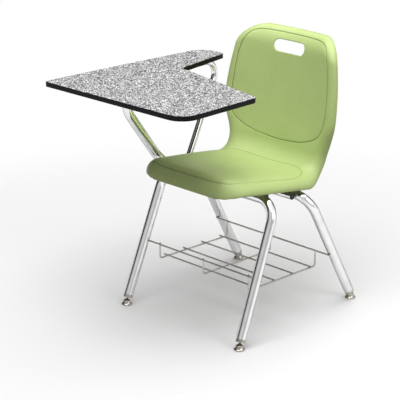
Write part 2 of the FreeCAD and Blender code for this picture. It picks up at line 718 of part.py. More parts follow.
# Plates on post and brace, each grooved over its tube and screwed to the board.
PLATES = [
    ("tablet_plate", "Sizes.plate_wide", "Sizes.plate_long", "Sizes.leg_od", post_points, -0.5),
    ("arm_plate", "Sizes.arm_plate_wide", "Sizes.arm_plate_long", "Sizes.brace_od", brace_points, 0.5),
]
wood_screws, board_bores, backer_bores = [], [], []
for label, wide, long, tube_size, points, lead in PLATES:
    width = size(wide.split(".")[1])
    length = size(long.split(".")[1])
    inner, end = points[-2], points[-1]
    reach = end.distanceToPoint(inner)
    middle = end - unit(end - inner) * (length / 2 + size("plug_head"))
    low = V(middle.x - width / 2, middle.y - length / 2, UNDER_PLATE)
    slab = box(label + "_slab", low, Turn(), wide, long, "Sizes.plate_thick")
    axis_z = inner.z
    groove_start = V(middle.x, low.y - PAST, axis_z)
    away = [cylinder(label + "_groove", groove_start, Turn(UP, V(0, 1, 0)),
                     tube_size + " / 2 + Sizes.weld_gap", long + " + 2 * Sizes.cut_past")]
    edge = size("plate_hole_edge")
    for i, x in enumerate((low.x + edge, low.x + width - edge)):
        for j, y in enumerate((low.y + edge, low.y + length - edge)):
            tag = "%s_%d%d" % (label, i, j)
            away.append(cylinder("plate_hole_" + tag, V(x, y, UNDER_PLATE - PAST), Turn(),
                                 "Sizes.wood_screw_d / 2 + Sizes.screw_pass",
                                 "Sizes.plate_thick + 2 * Sizes.cut_past"))
            board_bores.append(cylinder("board_bore_" + tag, V(x, y, UNDER_TABLET - PAST), Turn(),
                                        "Sizes.wood_screw_d / 2 + Sizes.screw_gap",
                                        "Sizes.wood_screw_bite + Sizes.screw_room + Sizes.cut_past"))
            backer_bores.append(cylinder("backer_bore_" + tag, V(x, y, UNDER_TABLET - PAST), Turn(),
                                         "Sizes.wood_screw_d / 2 + Sizes.screw_gap",
                                         "Sizes.backer_tall + 2 * Sizes.cut_past"))
            shank = cylinder("wood_screw_shank_" + tag, V(x, y, UNDER_PLATE), Turn(),
                             "Sizes.wood_screw_d / 2", "Sizes.plate_thick + Sizes.wood_screw_bite")
            head_z = UNDER_PLATE - size("wood_screw_head_tall")
            head = cylinder("wood_screw_head_" + tag, V(x, y, head_z), Turn(),
                            "Sizes.wood_screw_head / 2", "Sizes.wood_screw_head_tall")
            wood_screws.append(fuse("wood_screw_" + tag, [shank, head]))
    node(label, cut(label, slab, away))
node("tablet_screws", group("tablet_screws", wood_screws))

# The board is grooved all round for the strip's barb.
core_blank = tablet_layer("core_blank", core_low, "Sizes.core_tall", "Sizes.edge_thick")
groove_low = barb_low - size("barb_gap")
groove_out = raised("groove_out", tablet_outline("groove_outline", groove_low),
                    "Sizes.barb_tall + 2 * Sizes.barb_gap")
groove_in = tablet_layer("groove_in", groove_low, "Sizes.barb_tall + 2 * Sizes.barb_gap",
                         "(Sizes.edge_thick + Sizes.barb_deep + Sizes.barb_gap)")
groove = cut("edge_groove", groove_out, [groove_in])
node("tablet_core", cut("tablet_core", core_blank, [groove] + board_bores))
node("tablet_laminate", tablet_layer("tablet_laminate", core_top, "Sizes.laminate_tall", "Sizes.edge_thick"))
backer = tablet_layer("backer_blank", backer_low, "Sizes.backer_tall", "Sizes.edge_thick")
node("tablet_backer", cut("tablet_backer", backer, backer_bores))
strip_tall = "Sizes.laminate_tall + Sizes.core_tall + Sizes.backer_tall"
strip_out = raised("strip_out", tablet_outline("strip_outline", backer_low), strip_tall)
strip_in = tablet_layer("strip_in", backer_low, strip_tall, "Sizes.edge_thick")
strip = cut("strip_band", strip_out, [strip_in])
barb_out = raised("barb_out", tablet_outline("barb_outline", barb_low), "Sizes.barb_tall")
barb_in = tablet_layer("barb_in", barb_low, "Sizes.barb_tall", "(Sizes.edge_thick + Sizes.barb_deep)")
barb = cut("strip_barb", barb_out, [barb_in])
node("tablet_edge", fuse("tablet_edge", [strip, barb]))


# Book rack: a rail behind the front legs and one before the rear legs, cross wires
# hung between them, and floor wires lying on the cross wires.
WIRE = size("wire_d")


def rail_y(end, z):
    """Where a level wire touches the inner side of a pair of legs."""
    ball, top = leg_line(1, end)
    run = top - ball
    middle = ball + run * ((z - ball.z) / run.z)
    apart = LEG_R + WIRE / 2 + size("weld_gap")
    step = apart * math.hypot(run.y, run.z) / run.z
    return middle.y - SHIFT_Y + (step if end == "front" else -step)


front_z, rear_z = size("rack_front_z"), size("rack_rear_z")
front_y, rear_y = rail_y("front", front_z), rail_y("rear", rear_z)
for label, y, z in (("rack_front_rail", front_y, front_z), ("rack_rear_rail", rear_y, rear_z)):
    half = size("rack_rail_half")
    rod(label, [at(-half, y, z), at(half, y, z)], [])

touch = WIRE + size("weld_gap")
cross_front, cross_rear = front_y + touch, rear_y - touch
cross_front_z, cross_rear_z = front_z - size("rack_drop"), rear_z - size("rack_drop")
for label, x in (("left", size("rack_cross_x")), ("middle", 0.0), ("right", -size("rack_cross_x"))):
    points = [
        at(x, cross_front, front_z + WIRE / 2),
        at(x, cross_front, cross_front_z),
        at(x, cross_rear, cross_rear_z),
        at(x, cross_rear, rear_z + WIRE / 2),
    ]
    rod("rack_cross_" + label, points, [size("rack_bend")] * 2)

fall = (cross_rear_z - cross_front_z) / (cross_rear - cross_front)
rise = touch * math.hypot(1, fall)
first_y, last_y = cross_front + size("rack_inset"), cross_rear - size("rack_inset")
for i in range(4):
    y = mix(first_y, last_y, i / 3)
    z = cross_front_z + fall * (y - cross_front) + rise
    half = size("rack_floor_half")
    rod("rack_floor_%d" % (i + 1), [at(-half, y, z), at(half, y, z)], [])


# Glides: a cap in the tube's end with a ball stud in it, a liner that tilts on the
# ball, and a foot that turns about the liner and stands on a pad.
def glide(tag, side, end):
    ball, top = leg_line(side, end)
    axis = unit(top - ball)
    turn = Turn(UP, axis)
    cap_low = ball + axis * size("cap_up")
    band = cylinder(tag + "_cap_band", cap_low, turn, "Sizes.leg_od / 2", "Sizes.cap_tall")
    plug = cylinder(tag + "_cap_plug", cap_low, turn, "Sizes.leg_od / 2 - Sizes.leg_wall - Sizes.cap_gap",
                    "Sizes.cap_tall + Sizes.cap_plug")
    bore = cylinder(tag + "_cap_bore", cap_low - axis, turn, "Sizes.shank_d / 2 + Sizes.shank_gap",
                    "Sizes.shank_long + 1.5")
    node(tag + "_cap", cut(tag + "_cap", fuse(tag + "_cap_body", [band, plug]), [bore]))
    round_end = doc.addObject("Part::Sphere", tag + "_ball")
    round_end.setExpression("Radius", "Sizes.ball_d / 2")
    round_end.Placement = Place(ball, turn)
    neck = cylinder(tag + "_neck", ball, turn, "Sizes.neck_d / 2", "Sizes.cap_up + 1")
    shank = cylinder(tag + "_shank", cap_low, turn, "Sizes.shank_d / 2", "Sizes.shank_long")
    node(tag + "_stud", fuse(tag + "_stud", [round_end, neck, shank]))
    floor = V(ball.x, ball.y, 0)
    rim_low = floor + UP * size("pad_proud")
    rim = cylinder(tag + "_foot_rim", rim_low, Turn(), "Sizes.foot_d / 2", "Sizes.foot_rim")
    cone = doc.addObject("Part::Cone", tag + "_foot_cone")
    cone.setExpression("Radius1", "Sizes.foot_base / 2")
    cone.setExpression("Radius2", "Sizes.foot_neck / 2")
    cone.setExpression("Height", "Sizes.ball_z + Sizes.socket_over - Sizes.pad_proud - Sizes.foot_rim")
    cone.Placement = Place(rim_low + UP * size("foot_rim"), Turn())
    socket = doc.addObject("Part::Sphere", tag + "_socket")
    socket.setExpression("Radius", "Sizes.ball_d / 2 + Sizes.ball_gap")
    socket.Placement = Place(ball, Turn())
    recess = cylinder(tag + "_foot_recess", floor, Turn(),
                      "Sizes.pad_d / 2 + Sizes.pad_gap", "Sizes.pad_tall")
    liner_room = cylinder(tag + "_liner_room", floor + UP * (size("pad_tall") - size("pad_gap")), Turn(),
                          "Sizes.liner_d / 2 + Sizes.liner_gap",
                          "Sizes.ball_z + Sizes.liner_over + Sizes.liner_gap"
                          " - Sizes.pad_tall + Sizes.pad_gap")
    away = [socket, recess, liner_room]
    node(tag + "_foot", cut(tag + "_foot", fuse(tag + "_foot_body", [rim, cone]), away))
    liner_low = floor + UP * (size("pad_tall") + size("pad_gap"))
    liner = cylinder(tag + "_liner_body", liner_low, Turn(), "Sizes.liner_d / 2",
                     "Sizes.ball_z + Sizes.liner_over - Sizes.pad_tall - Sizes.pad_gap")
    liner_hole = doc.addObject("Part::Sphere", tag + "_liner_hole")
    liner_hole.setExpression("Radius", "Sizes.ball_d / 2 + Sizes.ball_gap")
    liner_hole.Placement = Place(ball, Turn())
    node(tag + "_liner", cut(tag + "_liner", liner, [liner_hole]))
    node(tag + "_pad", cylinder(tag + "_pad", floor, Turn(), "Sizes.pad_d / 2", "Sizes.pad_tall"))


for tag, side, end in (("fl", 1, "front"), ("fr", -1, "front"), ("rl", 1, "rear"), ("rr", -1, "rear")):
    glide("glide_" + tag, side, end)

doc.recompute()
for thing in doc.Objects:
    if "Invalid" in thing.State or "Error" in thing.State:
        raise RuntimeError("%s failed: %s" % (thing.Label, thing.State))
for thing in nodes:
    if thing.Shape.isNull() or not thing.Shape.isValid() or not thing.Shape.Solids:
        raise RuntimeError("%s has no valid solid" % thing.Label)

os.makedirs("parts", exist_ok=True)
for thing in nodes:
    thing.Shape.exportStep("parts/%s.step" % thing.Label)
whole = Part.Compound([thing.Shape for thing in nodes])
box_all = whole.BoundBox
print("%d nodes" % len(nodes))
print("X %.1f to %.1f" % (box_all.XMin, box_all.XMax))
print("Y %.1f to %.1f" % (box_all.YMin, box_all.YMax))
print("Z %.1f to %.1f" % (box_all.ZMin, box_all.ZMax))
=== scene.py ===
# %% [markdown]
# # A chair desk in Blender
# The object is a school chair with a writing tablet at the sitter's right: a green moulded shell,
# chromed tubes, a speckled tablet with a black edge, a wire rack for books and four swivel glides.
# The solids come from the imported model, so nothing here has to be fitted by eye. This file gives
# them their finishes, and makes again the pieces that carry finer shapes than the solids have.

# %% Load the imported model
import json
import math

import bpy
import numpy as np
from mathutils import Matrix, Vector
from mathutils.geometry import delaunay_2d_cdt


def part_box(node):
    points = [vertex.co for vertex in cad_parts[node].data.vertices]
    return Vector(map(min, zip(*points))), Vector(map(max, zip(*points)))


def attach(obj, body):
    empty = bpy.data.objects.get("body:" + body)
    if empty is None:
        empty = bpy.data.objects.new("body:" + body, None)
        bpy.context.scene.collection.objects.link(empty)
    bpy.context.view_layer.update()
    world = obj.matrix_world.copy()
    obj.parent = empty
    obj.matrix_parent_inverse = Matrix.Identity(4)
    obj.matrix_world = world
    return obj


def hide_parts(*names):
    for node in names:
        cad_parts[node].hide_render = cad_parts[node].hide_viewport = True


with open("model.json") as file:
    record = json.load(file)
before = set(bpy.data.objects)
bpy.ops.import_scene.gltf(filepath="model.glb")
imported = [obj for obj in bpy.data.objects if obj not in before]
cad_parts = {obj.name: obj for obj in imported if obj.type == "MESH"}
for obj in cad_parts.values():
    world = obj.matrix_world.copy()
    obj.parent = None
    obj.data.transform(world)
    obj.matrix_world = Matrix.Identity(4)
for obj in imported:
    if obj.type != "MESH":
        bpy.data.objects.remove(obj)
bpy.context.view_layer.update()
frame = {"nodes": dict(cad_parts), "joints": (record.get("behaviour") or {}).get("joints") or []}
nodes = frame["nodes"]
MM = 0.001

# %% [markdown]
# The sizes in this file are counted from the middle of the four glides, as the chair's own maker
# would. Each glide's joint holds the place of its ball, so the middle is read from there.

# %% The chair's middle
tilts = [joint for joint in frame["joints"] if joint["name"].endswith("_tilt")]
balls = {joint["child"].split("_")[1]: Vector(joint["pos_m"]) for joint in tilts}
MIDDLE = sum(balls.values(), Vector()) / len(balls)
MIDDLE.z = 0
print("middle of the glides:", [round(c, 4) for c in MIDDLE])


def placed(points):
    """Points in millimetres from the chair's middle, as metres in the frame."""
    return np.asarray(points, float) * MM + np.array(MIDDLE)


# %% [markdown]
# ## Camera
# The picture was taken from the sitter's left front, looking down by about 20 degrees, with a long
# lens. A long lens keeps the legs nearly parallel, so the camera stands more than four metres away.

# %% Camera
# millimetres from the chair's middle, and degrees
CAMERA_AT = (2862.4, -3188.3, 1909.5)
CAMERA_TURN, CAMERA_DIP = 43.51, 20.276
SENSOR = 36.0
FOCAL_IN_WIDTHS = 3.8352


def in_scene(name, data):
    """A new object of the scene, at the origin."""
    thing = bpy.data.objects.new(name, data)
    bpy.context.scene.collection.objects.link(thing)
    return thing


camera_data = bpy.data.cameras.new("camera")
camera_data.sensor_width = SENSOR
camera_data.lens = SENSOR * FOCAL_IN_WIDTHS
camera = in_scene("camera", camera_data)
camera.location = placed(CAMERA_AT)
camera.rotation_euler = (math.radians(90 - CAMERA_DIP), 0, math.radians(CAMERA_TURN))
bpy.context.scene.camera = camera
bpy.context.scene.view_settings.view_transform = "Standard"
print("lens: %.1f mm" % camera_data.lens)

# %% [markdown]
# ## Helpers for node trees
# Shader trees and geometry trees are both made of nodes, so one function adds a node, sets its
# properties and fills its inputs. An input takes a value, another node's output, or a node, which
# then stands for its first output. A last function turns a colour as it is picked on a screen (sRGB
# hex) into the linear numbers that light needs.


# %% Node and colour helpers
def fill(tree, socket, value):
    """Give an input a plain value, or link it to another node."""
    if isinstance(value, bpy.types.Node):
        value = value.outputs[0]
    if isinstance(value, bpy.types.NodeSocket):
        tree.links.new(value, socket)
    else:
        socket.default_value = value


def add(tree, kind, settings=None, inputs=None, stops=()):
    """Add one node to a tree, with its settings, its inputs and the stops of its colour ramp."""
    node = tree.nodes.new(kind)
    for name, value in (settings or {}).items():
        setattr(node, name, value)
    for key, value in (inputs or {}).items():
        for part in value if isinstance(value, list) else [value]:
            fill(tree, node.inputs[key], part)
    for i, (position, value) in enumerate(stops):
        elements = node.color_ramp.elements
        element = elements[i] if i < 2 else elements.new(position)
        element.position = position
        element.color = value
    return node


def empty_tree(owner):
    """The node tree of a material or a world, emptied."""
    owner.use_nodes = True
    owner.node_tree.nodes.clear()
    return owner.node_tree


def colour(code):
    """Linear colour from an sRGB hex code."""
    parts = [int(code[i:i + 2], 16) / 255 for i in (1, 3, 5)]
    return tuple(c / 12.92 if c <= 0.04045 else ((c + 0.055) / 1.055) ** 2.4 for c in parts) + (1.0,)


print("mid grey in linear light: %.3f" % colour("#808080")[0])

# %% [markdown]
# ## Floor
# The chair stands on a white studio floor. Near the chair the floor is a plain white surface that
# keeps the soft shadow; further out it turns into white that only the camera and mirrors see, so
# no lamp has to be raised to make the background white. Light that bounces up from the floor is
# held back, so that the rolled edges under the seat fall into shade.

# %% Floor
FLOOR_HALF = 14.0
SHADOW_NEAR, SHADOW_FAR = 0.75, 1.7
FLOOR_TONE, BOUNCE_TONE = colour("#F2F2F2"), colour("#484848")

floor_corners = [(x * FLOOR_HALF, y * FLOOR_HALF, 0) for x, y in ((-1, -1), (1, -1), (1, 1), (-1, 1))]
floor_mesh = bpy.data.meshes.new("floor")
floor_mesh.from_pydata(floor_corners, [], [(0, 1, 2, 3)])
floor = in_scene("floor", floor_mesh)

floor_material = bpy.data.materials.new("white_studio_floor")
tree = empty_tree(floor_material)
place = add(tree, "ShaderNodeTexCoord").outputs["Object"]
away = add(tree, "ShaderNodeVectorMath", {"operation": "LENGTH"}, {0: place}).outputs["Value"]
fade = add(tree, "ShaderNodeMapRange", {"interpolation_type": "SMOOTHSTEP"},
           {"Value": away, "From Min": SHADOW_NEAR, "From Max": SHADOW_FAR})
path = add(tree, "ShaderNodeLightPath").outputs
seen = add(tree, "ShaderNodeMath", {"operation": "MAXIMUM"},
           {0: path["Is Camera Ray"], 1: path["Is Glossy Ray"]})
white_share = add(tree, "ShaderNodeMath", {"operation": "MULTIPLY"}, {0: seen, 1: fade})
tone = add(tree, "ShaderNodeMix", {"data_type": "RGBA"},
           {0: path["Is Diffuse Ray"], 6: FLOOR_TONE, 7: BOUNCE_TONE}).outputs[2]
matt = add(tree, "ShaderNodeBsdfDiffuse", inputs={"Color": tone})
white = add(tree, "ShaderNodeEmission", inputs={"Color": (1, 1, 1, 1), "Strength": 1.0})
mixed = add(tree, "ShaderNodeMixShader", inputs={0: white_share, 1: matt, 2: white})
add(tree, "ShaderNodeOutputMaterial", inputs={"Surface": mixed})
floor_mesh.materials.append(floor_material)
print("floor: %.0f m wide" % (2 * FLOOR_HALF))

# %% [markdown]
# ## Light
# The world gives a soft light, strongest straight above. The camera sees it white. Mirrors see a room
# of white, greys and one broad dark side: chrome has no look of its own, and shows its roundness only
# where the room has both light and dark. The dark side stands at the sitter's right, so the legs get a
# dark left edge.

# %% World
LOW_LIGHT, HIGH_LIGHT = 0.08, 0.66
ROOF_START, ROOF_FULL = 0.55, 0.9
LIGHT, PALE, GREY, SHADE, DARK = [(tone, tone, tone, 1) for tone in (1.0, 0.66, 0.48, 0.2, 0.03)]
# shares of a full turn, from the sitter's right past the front, the left and the back
ROOM = [(0.00, DARK), (0.13, DARK), (0.15, SHADE), (0.20, GREY), (0.26, PALE), (0.33, PALE),
        (0.38, GREY), (0.45, GREY), (0.52, PALE), (0.57, LIGHT), (0.64, LIGHT), (0.69, GREY),
        (0.76, SHADE), (0.84, SHADE), (0.92, DARK), (1.00, DARK)]

world = bpy.data.worlds.new("studio")
bpy.context.scene.world = world
tree = empty_tree(world)
way = add(tree, "ShaderNodeTexCoord").outputs["Generated"]
parts = add(tree, "ShaderNodeSeparateXYZ", inputs={0: way}).outputs
turn = add(tree, "ShaderNodeMath", {"operation": "ARCTAN2"}, {0: parts["Y"], 1: parts["X"]})
share = add(tree, "ShaderNodeMapRange", inputs={"Value": turn, "From Min": -math.pi, "From Max": math.pi})
walls = add(tree, "ShaderNodeValToRGB", inputs={"Fac": share}, stops=ROOM)
high = add(tree, "ShaderNodeMapRange", {"interpolation_type": "SMOOTHSTEP"},
           {"Value": parts["Z"], "From Min": ROOF_START, "From Max": ROOF_FULL})
room = add(tree, "ShaderNodeMix", {"data_type": "RGBA"}, {0: high, 6: walls, 7: LIGHT}).outputs[2]
path = add(tree, "ShaderNodeLightPath").outputs
level = add(tree, "ShaderNodeMapRange",
            inputs={"Value": parts["Z"], "To Min": LOW_LIGHT, "To Max": HIGH_LIGHT})
lit = add(tree, "ShaderNodeBackground", inputs={"Color": LIGHT, "Strength": level})
mirrored = add(tree, "ShaderNodeBackground", inputs={"Color": room, "Strength": 1.0})
backdrop = add(tree, "ShaderNodeBackground", inputs={"Color": LIGHT, "Strength": 1.0})
bounce = add(tree, "ShaderNodeMath", {"operation": "MAXIMUM"},
             {0: path["Is Glossy Ray"], 1: path["Is Transmission Ray"]})
first = add(tree, "ShaderNodeMixShader", inputs={0: bounce, 1: lit, 2: mirrored})
both = add(tree, "ShaderNodeMixShader", inputs={0: path["Is Camera Ray"], 1: first, 2: backdrop})
add(tree, "ShaderNodeOutputWorld", inputs={"Surface": both})
print("world: light from %.2f below to %.2f above" % (LOW_LIGHT, HIGH_LIGHT))

# %% [markdown]
# Three large soft lamps add to the world. One above and behind throws the shadow forward. One high in
# front lights the back, too steeply to brighten the seat's front roll. A weak one at the picture's
# right, which is the sitter's left, lifts the near side.

# %% Lamps
LAMPS = [
    # name, place in metres, width, power
    ("overhead_rear", (-0.2, 0.8, 2.9), 2.4, 28.0),
    ("overhead_front", (0.3, -0.9, 3.0), 2.0, 44.0),
    ("side_right", (2.8, 0.0, 2.0), 1.5, 20.0),
]
LAMP_AIM = Vector((0, 0, 0.4))

for name, spot, width, power in LAMPS:
    lamp_data = bpy.data.lights.new(name, "AREA")
    lamp_data.size = width
    lamp_data.energy = power
    lamp = in_scene(name, lamp_data)
    lamp.location = spot
    lamp.rotation_euler = (LAMP_AIM - Vector(spot)).to_track_quat("-Z", "Y").to_euler()
print("lamps:", [lamp[0] for lamp in LAMPS])

# %% [markdown]
# ## Finishes
# Every finish starts the same way: a shader, an output and the object's own coordinates. The pieces
# stand unturned at the origin, so those coordinates are metres in the frame, and a pattern's scale
# is simply how many of its features fit in a metre. Patterns in space need no unwrapping, and don't
# stretch over rolled edges and bent tubes.


# %% Start of a finish
def fresh_material(name):
    """A material with an empty tree, its shader and its coordinates."""
    material = bpy.data.materials.new(name)
    tree = empty_tree(material)
    shader = add(tree, "ShaderNodeBsdfPrincipled")
    add(tree, "ShaderNodeOutputMaterial", inputs={"Surface": shader})
    place = add(tree, "ShaderNodeTexCoord").outputs["Object"]
    return material, tree, shader, place


def per_metre(size_mm):
    """How many features of a size fit in a metre: the scale of a pattern."""
    return 1000.0 / size_mm


def feed(tree, shader, **sockets):
    """Fill the shader's inputs, their names written with underlines."""
    for name, value in sockets.items():
        fill(tree, shader.inputs[name.replace("_", " ")], value)


def wear(material, *node_names):
    """Give CAD nodes one finish."""
    for name in node_names:
        nodes[name].data.materials.clear()
        nodes[name].data.materials.append(material)
    print(material.name, "on", len(node_names), "nodes")


print("a 2 mm pattern has scale", per_metre(2))

# %% [markdown]
# Moulded polypropylene: the mould is spark-eroded to a fine grain, so the plastic has a soft sheen
# and no sharp reflections. The real grain is about half a millimetre; it is drawn at 2.6 mm, because
# a pixel covers about three. The mesh marks its panel lines, and the finish darkens them with painted
# shade.

# %% Green polypropylene
shell_finish, tree, shader, place = fresh_material("moulded_polypropylene_green")
cloud = add(tree, "ShaderNodeTexNoise", inputs={"Vector": place, "Scale": per_metre(140), "Detail": 3.0})
grain = add(tree, "ShaderNodeTexNoise", inputs={"Vector": place, "Scale": per_metre(2.6), "Detail": 2.0})
tint = add(tree, "ShaderNodeValToRGB", inputs={"Fac": cloud},
           stops=[(0.3, colour("#BFD387")), (0.7, colour("#C7DA8F"))])
fleck = add(tree, "ShaderNodeMapRange", inputs={"Value": grain, "To Min": 0.86, "To Max": 1.14})
skin = add(tree, "ShaderNodeVectorMath", {"operation": "SCALE"}, {0: tint, "Scale": fleck})
# painted shade: along the panel lines the green is mixed towards a dark green, standing in for the shade in
# the grooves
line = add(tree, "ShaderNodeAttribute", {"attribute_name": "panel_line"}).outputs["Fac"]
shaded_panel_lines = add(tree, "ShaderNodeMix", {"data_type": "RGBA"},
            {0: line, 6: skin, 7: colour("#66793C")}).outputs[2]
gloss = add(tree, "ShaderNodeMapRange", inputs={"Value": grain, "To Min": 0.38, "To Max": 0.50})
bump = add(tree, "ShaderNodeBump", inputs={"Strength": 0.12, "Distance": 0.3 * MM, "Height": grain})
feed(tree, shader, Base_Color=shaded_panel_lines, Roughness=gloss, Normal=bump, IOR=1.49)
print("made", shell_finish.name)

# %% [markdown]
# Chrome plate on the tubes: a near mirror. Hands and dust leave a faint haze that makes the
# reflections a little softer in patches a few centimetres wide. Chromium reflects less just before
# grazing, which a metal's Specular Tint gives: it draws a thin grey outline on a white tube.

# %% Polished chrome on the tubes
chrome, tree, shader, place = fresh_material("polished_chrome_plate")
smudge = add(tree, "ShaderNodeTexNoise", inputs={
    "Vector": place, "Scale": per_metre(38), "Detail": 4.0, "Roughness": 0.6})
tint = add(tree, "ShaderNodeValToRGB", inputs={"Fac": smudge},
           stops=[(0.35, colour("#F6F6F6")), (0.7, colour("#EBEBEB"))])
haze = add(tree, "ShaderNodeMapRange", inputs={
    "Value": smudge, "From Min": 0.3, "From Max": 0.75, "To Min": 0.05, "To Max": 0.13})
feed(tree, shader, Base_Color=tint, Metallic=1.0, Roughness=haze, Specular_Tint=colour("#808080"))
wear(chrome, "front_leg_tube", "rear_leg_tube", "tablet_post", "arm_brace")

# %% [markdown]
# The rack's wire is drawn, not polished, before it is plated. It keeps the die's fine marks, so its
# reflections are duller and its tone darker than the tubes'. Many finishes below share its plan: two
# tones follow a noise, and roughness and bump follow a finer one, so one function builds that plan.


# %% Chrome on the rack wire
def two_tone(name, broad, tones, rough, fine=None, bump=None, span=(0.3, 0.7), stretch=None, **plain):
    """A finish of two tones; noises are (size in mm, detail), a bump is (strength, depth in mm)."""
    material, tree, shader, place = fresh_material(name)
    if stretch:
        place = add(tree, "ShaderNodeVectorMath", {"operation": "MULTIPLY"}, {0: place, 1: stretch})
    noises = [add(tree, "ShaderNodeTexNoise",
                  inputs={"Vector": place, "Scale": per_metre(size), "Detail": detail})
              for size, detail in ([broad, fine] if fine else [broad])]
    tint = add(tree, "ShaderNodeValToRGB", inputs={"Fac": noises[0]},
               stops=[(at, colour(code)) for at, code in zip(span, tones)])
    dull = add(tree, "ShaderNodeMapRange",
               inputs={"Value": noises[-1], "To Min": rough[0], "To Max": rough[1]})
    feed(tree, shader, Base_Color=tint, Roughness=dull, **plain)
    if bump:
        raised = add(tree, "ShaderNodeBump", inputs={
            "Strength": bump[0], "Distance": bump[1] * MM, "Height": noises[-1]})
        feed(tree, shader, Normal=raised)
    return material


wire_chrome = two_tone("chrome_plated_drawn_wire", (30, 2.0), ("#CFCCC6", "#BAB7B1"), (0.10, 0.24),
                       fine=(1.5, 3.0), bump=(0.1, 0.1), Metallic=1.0, Specular_Tint=colour("#606060"))
wear(wire_chrome, *[name for name in nodes if name.startswith("rack_")])

# %% [markdown]
# The glides are nickel plated and tumbled, which leaves a warm satin grey: the fine dents of the
# tumbling blur each reflection, and the plate's tone drifts a little over a centimetre.

# %% Satin nickel
nickel = two_tone("satin_nickel_plate", (11, 2.0), ("#C4BEB4", "#ABA59B"), (0.20, 0.36),
                  fine=(0.9, 3.0), bump=(0.15, 0.1), Metallic=1.0)
wear(nickel, *["glide_%s_%s" % (tag, part) for tag in balls for part in ("cap", "foot")])

# %% [markdown]
# The tablet's face is a decorative laminate printed with grey specks, pressed to a matt finish. A
# Voronoi pattern gives each speck its own grey. Real specks are one to two millimetres; they are
# drawn at 2.8 mm, because a pixel covers about three.

# %% Speckled laminate
LAMINATE_GREYS = [(0.0, "#2A2A2C"), (0.4, "#58585A"), (0.5, "#9A9A9C"), (0.68, "#B4B4B4"),
                  (0.78, "#E6E6E6"), (1.0, "#F4F4F4")]

laminate, tree, shader, place = fresh_material("matt_laminate_grey_speckle")
speck = add(tree, "ShaderNodeTexVoronoi",
            inputs={"Vector": place, "Scale": per_metre(2.8)}).outputs["Color"]
pick = add(tree, "ShaderNodeSeparateColor", inputs={0: speck})
tint = add(tree, "ShaderNodeValToRGB", inputs={"Fac": pick},
           stops=[(at, colour(grey)) for at, grey in LAMINATE_GREYS])
press = add(tree, "ShaderNodeTexNoise", inputs={"Vector": place, "Scale": per_metre(1.2), "Detail": 2.0})
matt = add(tree, "ShaderNodeMapRange", inputs={"Value": press, "To Min": 0.42, "To Max": 0.56})
bump = add(tree, "ShaderNodeBump", inputs={"Strength": 0.1, "Distance": 0.2 * MM, "Height": press})
feed(tree, shader, Base_Color=tint, Roughness=matt, Normal=bump, Specular_IOR_Level=0.3)
wear(laminate, "tablet_laminate")

# %% [markdown]
# The strip round the tablet is extruded, so it has faint lines along its length: the pattern is
# stretched until it only changes with height.

# %% Black edge strip
edge_black = two_tone("extruded_black_edging", (1.4, 2.0), ("#0E0E0F", "#151516"), (0.28, 0.42),
                      bump=(0.1, 0.2), stretch=(0.02, 0.02, 1.0), Specular_IOR_Level=0.12)
print("made", edge_black.name)

# %% [markdown]
# Under the laminate lie particle board, with its pressed flakes, and a thin sheet of dark kraft paper
# that keeps the board from warping. The paper's fibres lie along the sheet, so their pattern is
# stretched that way.

# %% Particle board and backer
board, tree, shader, place = fresh_material("particle_board")
flake = add(tree, "ShaderNodeTexVoronoi", inputs={"Vector": place, "Scale": per_metre(4)}).outputs["Color"]
pick = add(tree, "ShaderNodeSeparateColor", inputs={0: flake})
tint = add(tree, "ShaderNodeValToRGB", inputs={"Fac": pick},
           stops=[(0.0, colour("#8E6B45")), (1.0, colour("#C9A678"))])
feed(tree, shader, Base_Color=tint, Roughness=0.85)
wear(board, "tablet_core")

backer, tree, shader, place = fresh_material("dark_kraft_backer")
stretched = add(tree, "ShaderNodeVectorMath", {"operation": "MULTIPLY"}, {0: place, 1: (1, 0.12, 1)})
fibre = add(tree, "ShaderNodeTexNoise",
            inputs={"Vector": stretched, "Scale": per_metre(2.5), "Detail": 5.0})
tint = add(tree, "ShaderNodeValToRGB", inputs={"Fac": fibre},
           stops=[(0.3, colour("#2B2622")), (0.7, colour("#443C35"))])
bump = add(tree, "ShaderNodeBump", inputs={"Strength": 0.2, "Distance": 0.2 * MM, "Height": fibre})
feed(tree, shader, Base_Color=tint, Roughness=0.7, Normal=bump)
wear(backer, "tablet_backer")

# %% [markdown]
# Rails and plates are powder coated. The coat melts into low waves, the orange peel of such paint: a
# noise with little detail gives waves, where a detailed one would give grit.

# %% Black powder coat
powder = two_tone("black_powder_coat", (1.6, 1.0), ("#161719", "#202124"), (0.38, 0.5), bump=(0.35, 0.2))
wear(powder, "seat_rail_left", "seat_rail_right", "tablet_plate", "arm_plate")

# %% [markdown]
# Plugs and glide pads are black plastic with the same kind of moulded grain as the shell, but finer.

# %% Black moulded plastic
black_plastic = two_tone("black_moulded_plastic", (0.8, 2.0), ("#141415", "#1F1F20"), (0.36, 0.52),
                         bump=(0.2, 0.1))
wear(black_plastic, "post_plug_low", "post_plug_top", "brace_plug_low", "brace_plug_top",
     *["glide_%s_pad" % tag for tag in balls])

# %% [markdown]
# Small hidden metal and the socket liners: screws are zinc plated with a bluish cast that drifts to
# yellow, ball studs are blackened steel with an oily bloom, liners are milky nylon that lets a little
# light in.

# %% Zinc, blackened steel and nylon
zinc = two_tone("zinc_plated_screw", (5, 3.0), ("#BFC5CE", "#CDC8B4"), (0.22, 0.36),
                span=(0.35, 0.65), Metallic=1.0)
wear(zinc, "seat_screws", "tablet_screws")

stud_steel = two_tone("blackened_steel", (3, 4.0), ("#4A4B50", "#5E5C58"), (0.25, 0.42), Metallic=1.0)
wear(stud_steel, *["glide_%s_stud" % tag for tag in balls])

nylon = two_tone("natural_nylon", (6, 2.0), ("#DDD9CC", "#CFCABB"), (0.35, 0.45), Subsurface_Weight=0.15)
wear(nylon, *["glide_%s_liner" % tag for tag in balls])

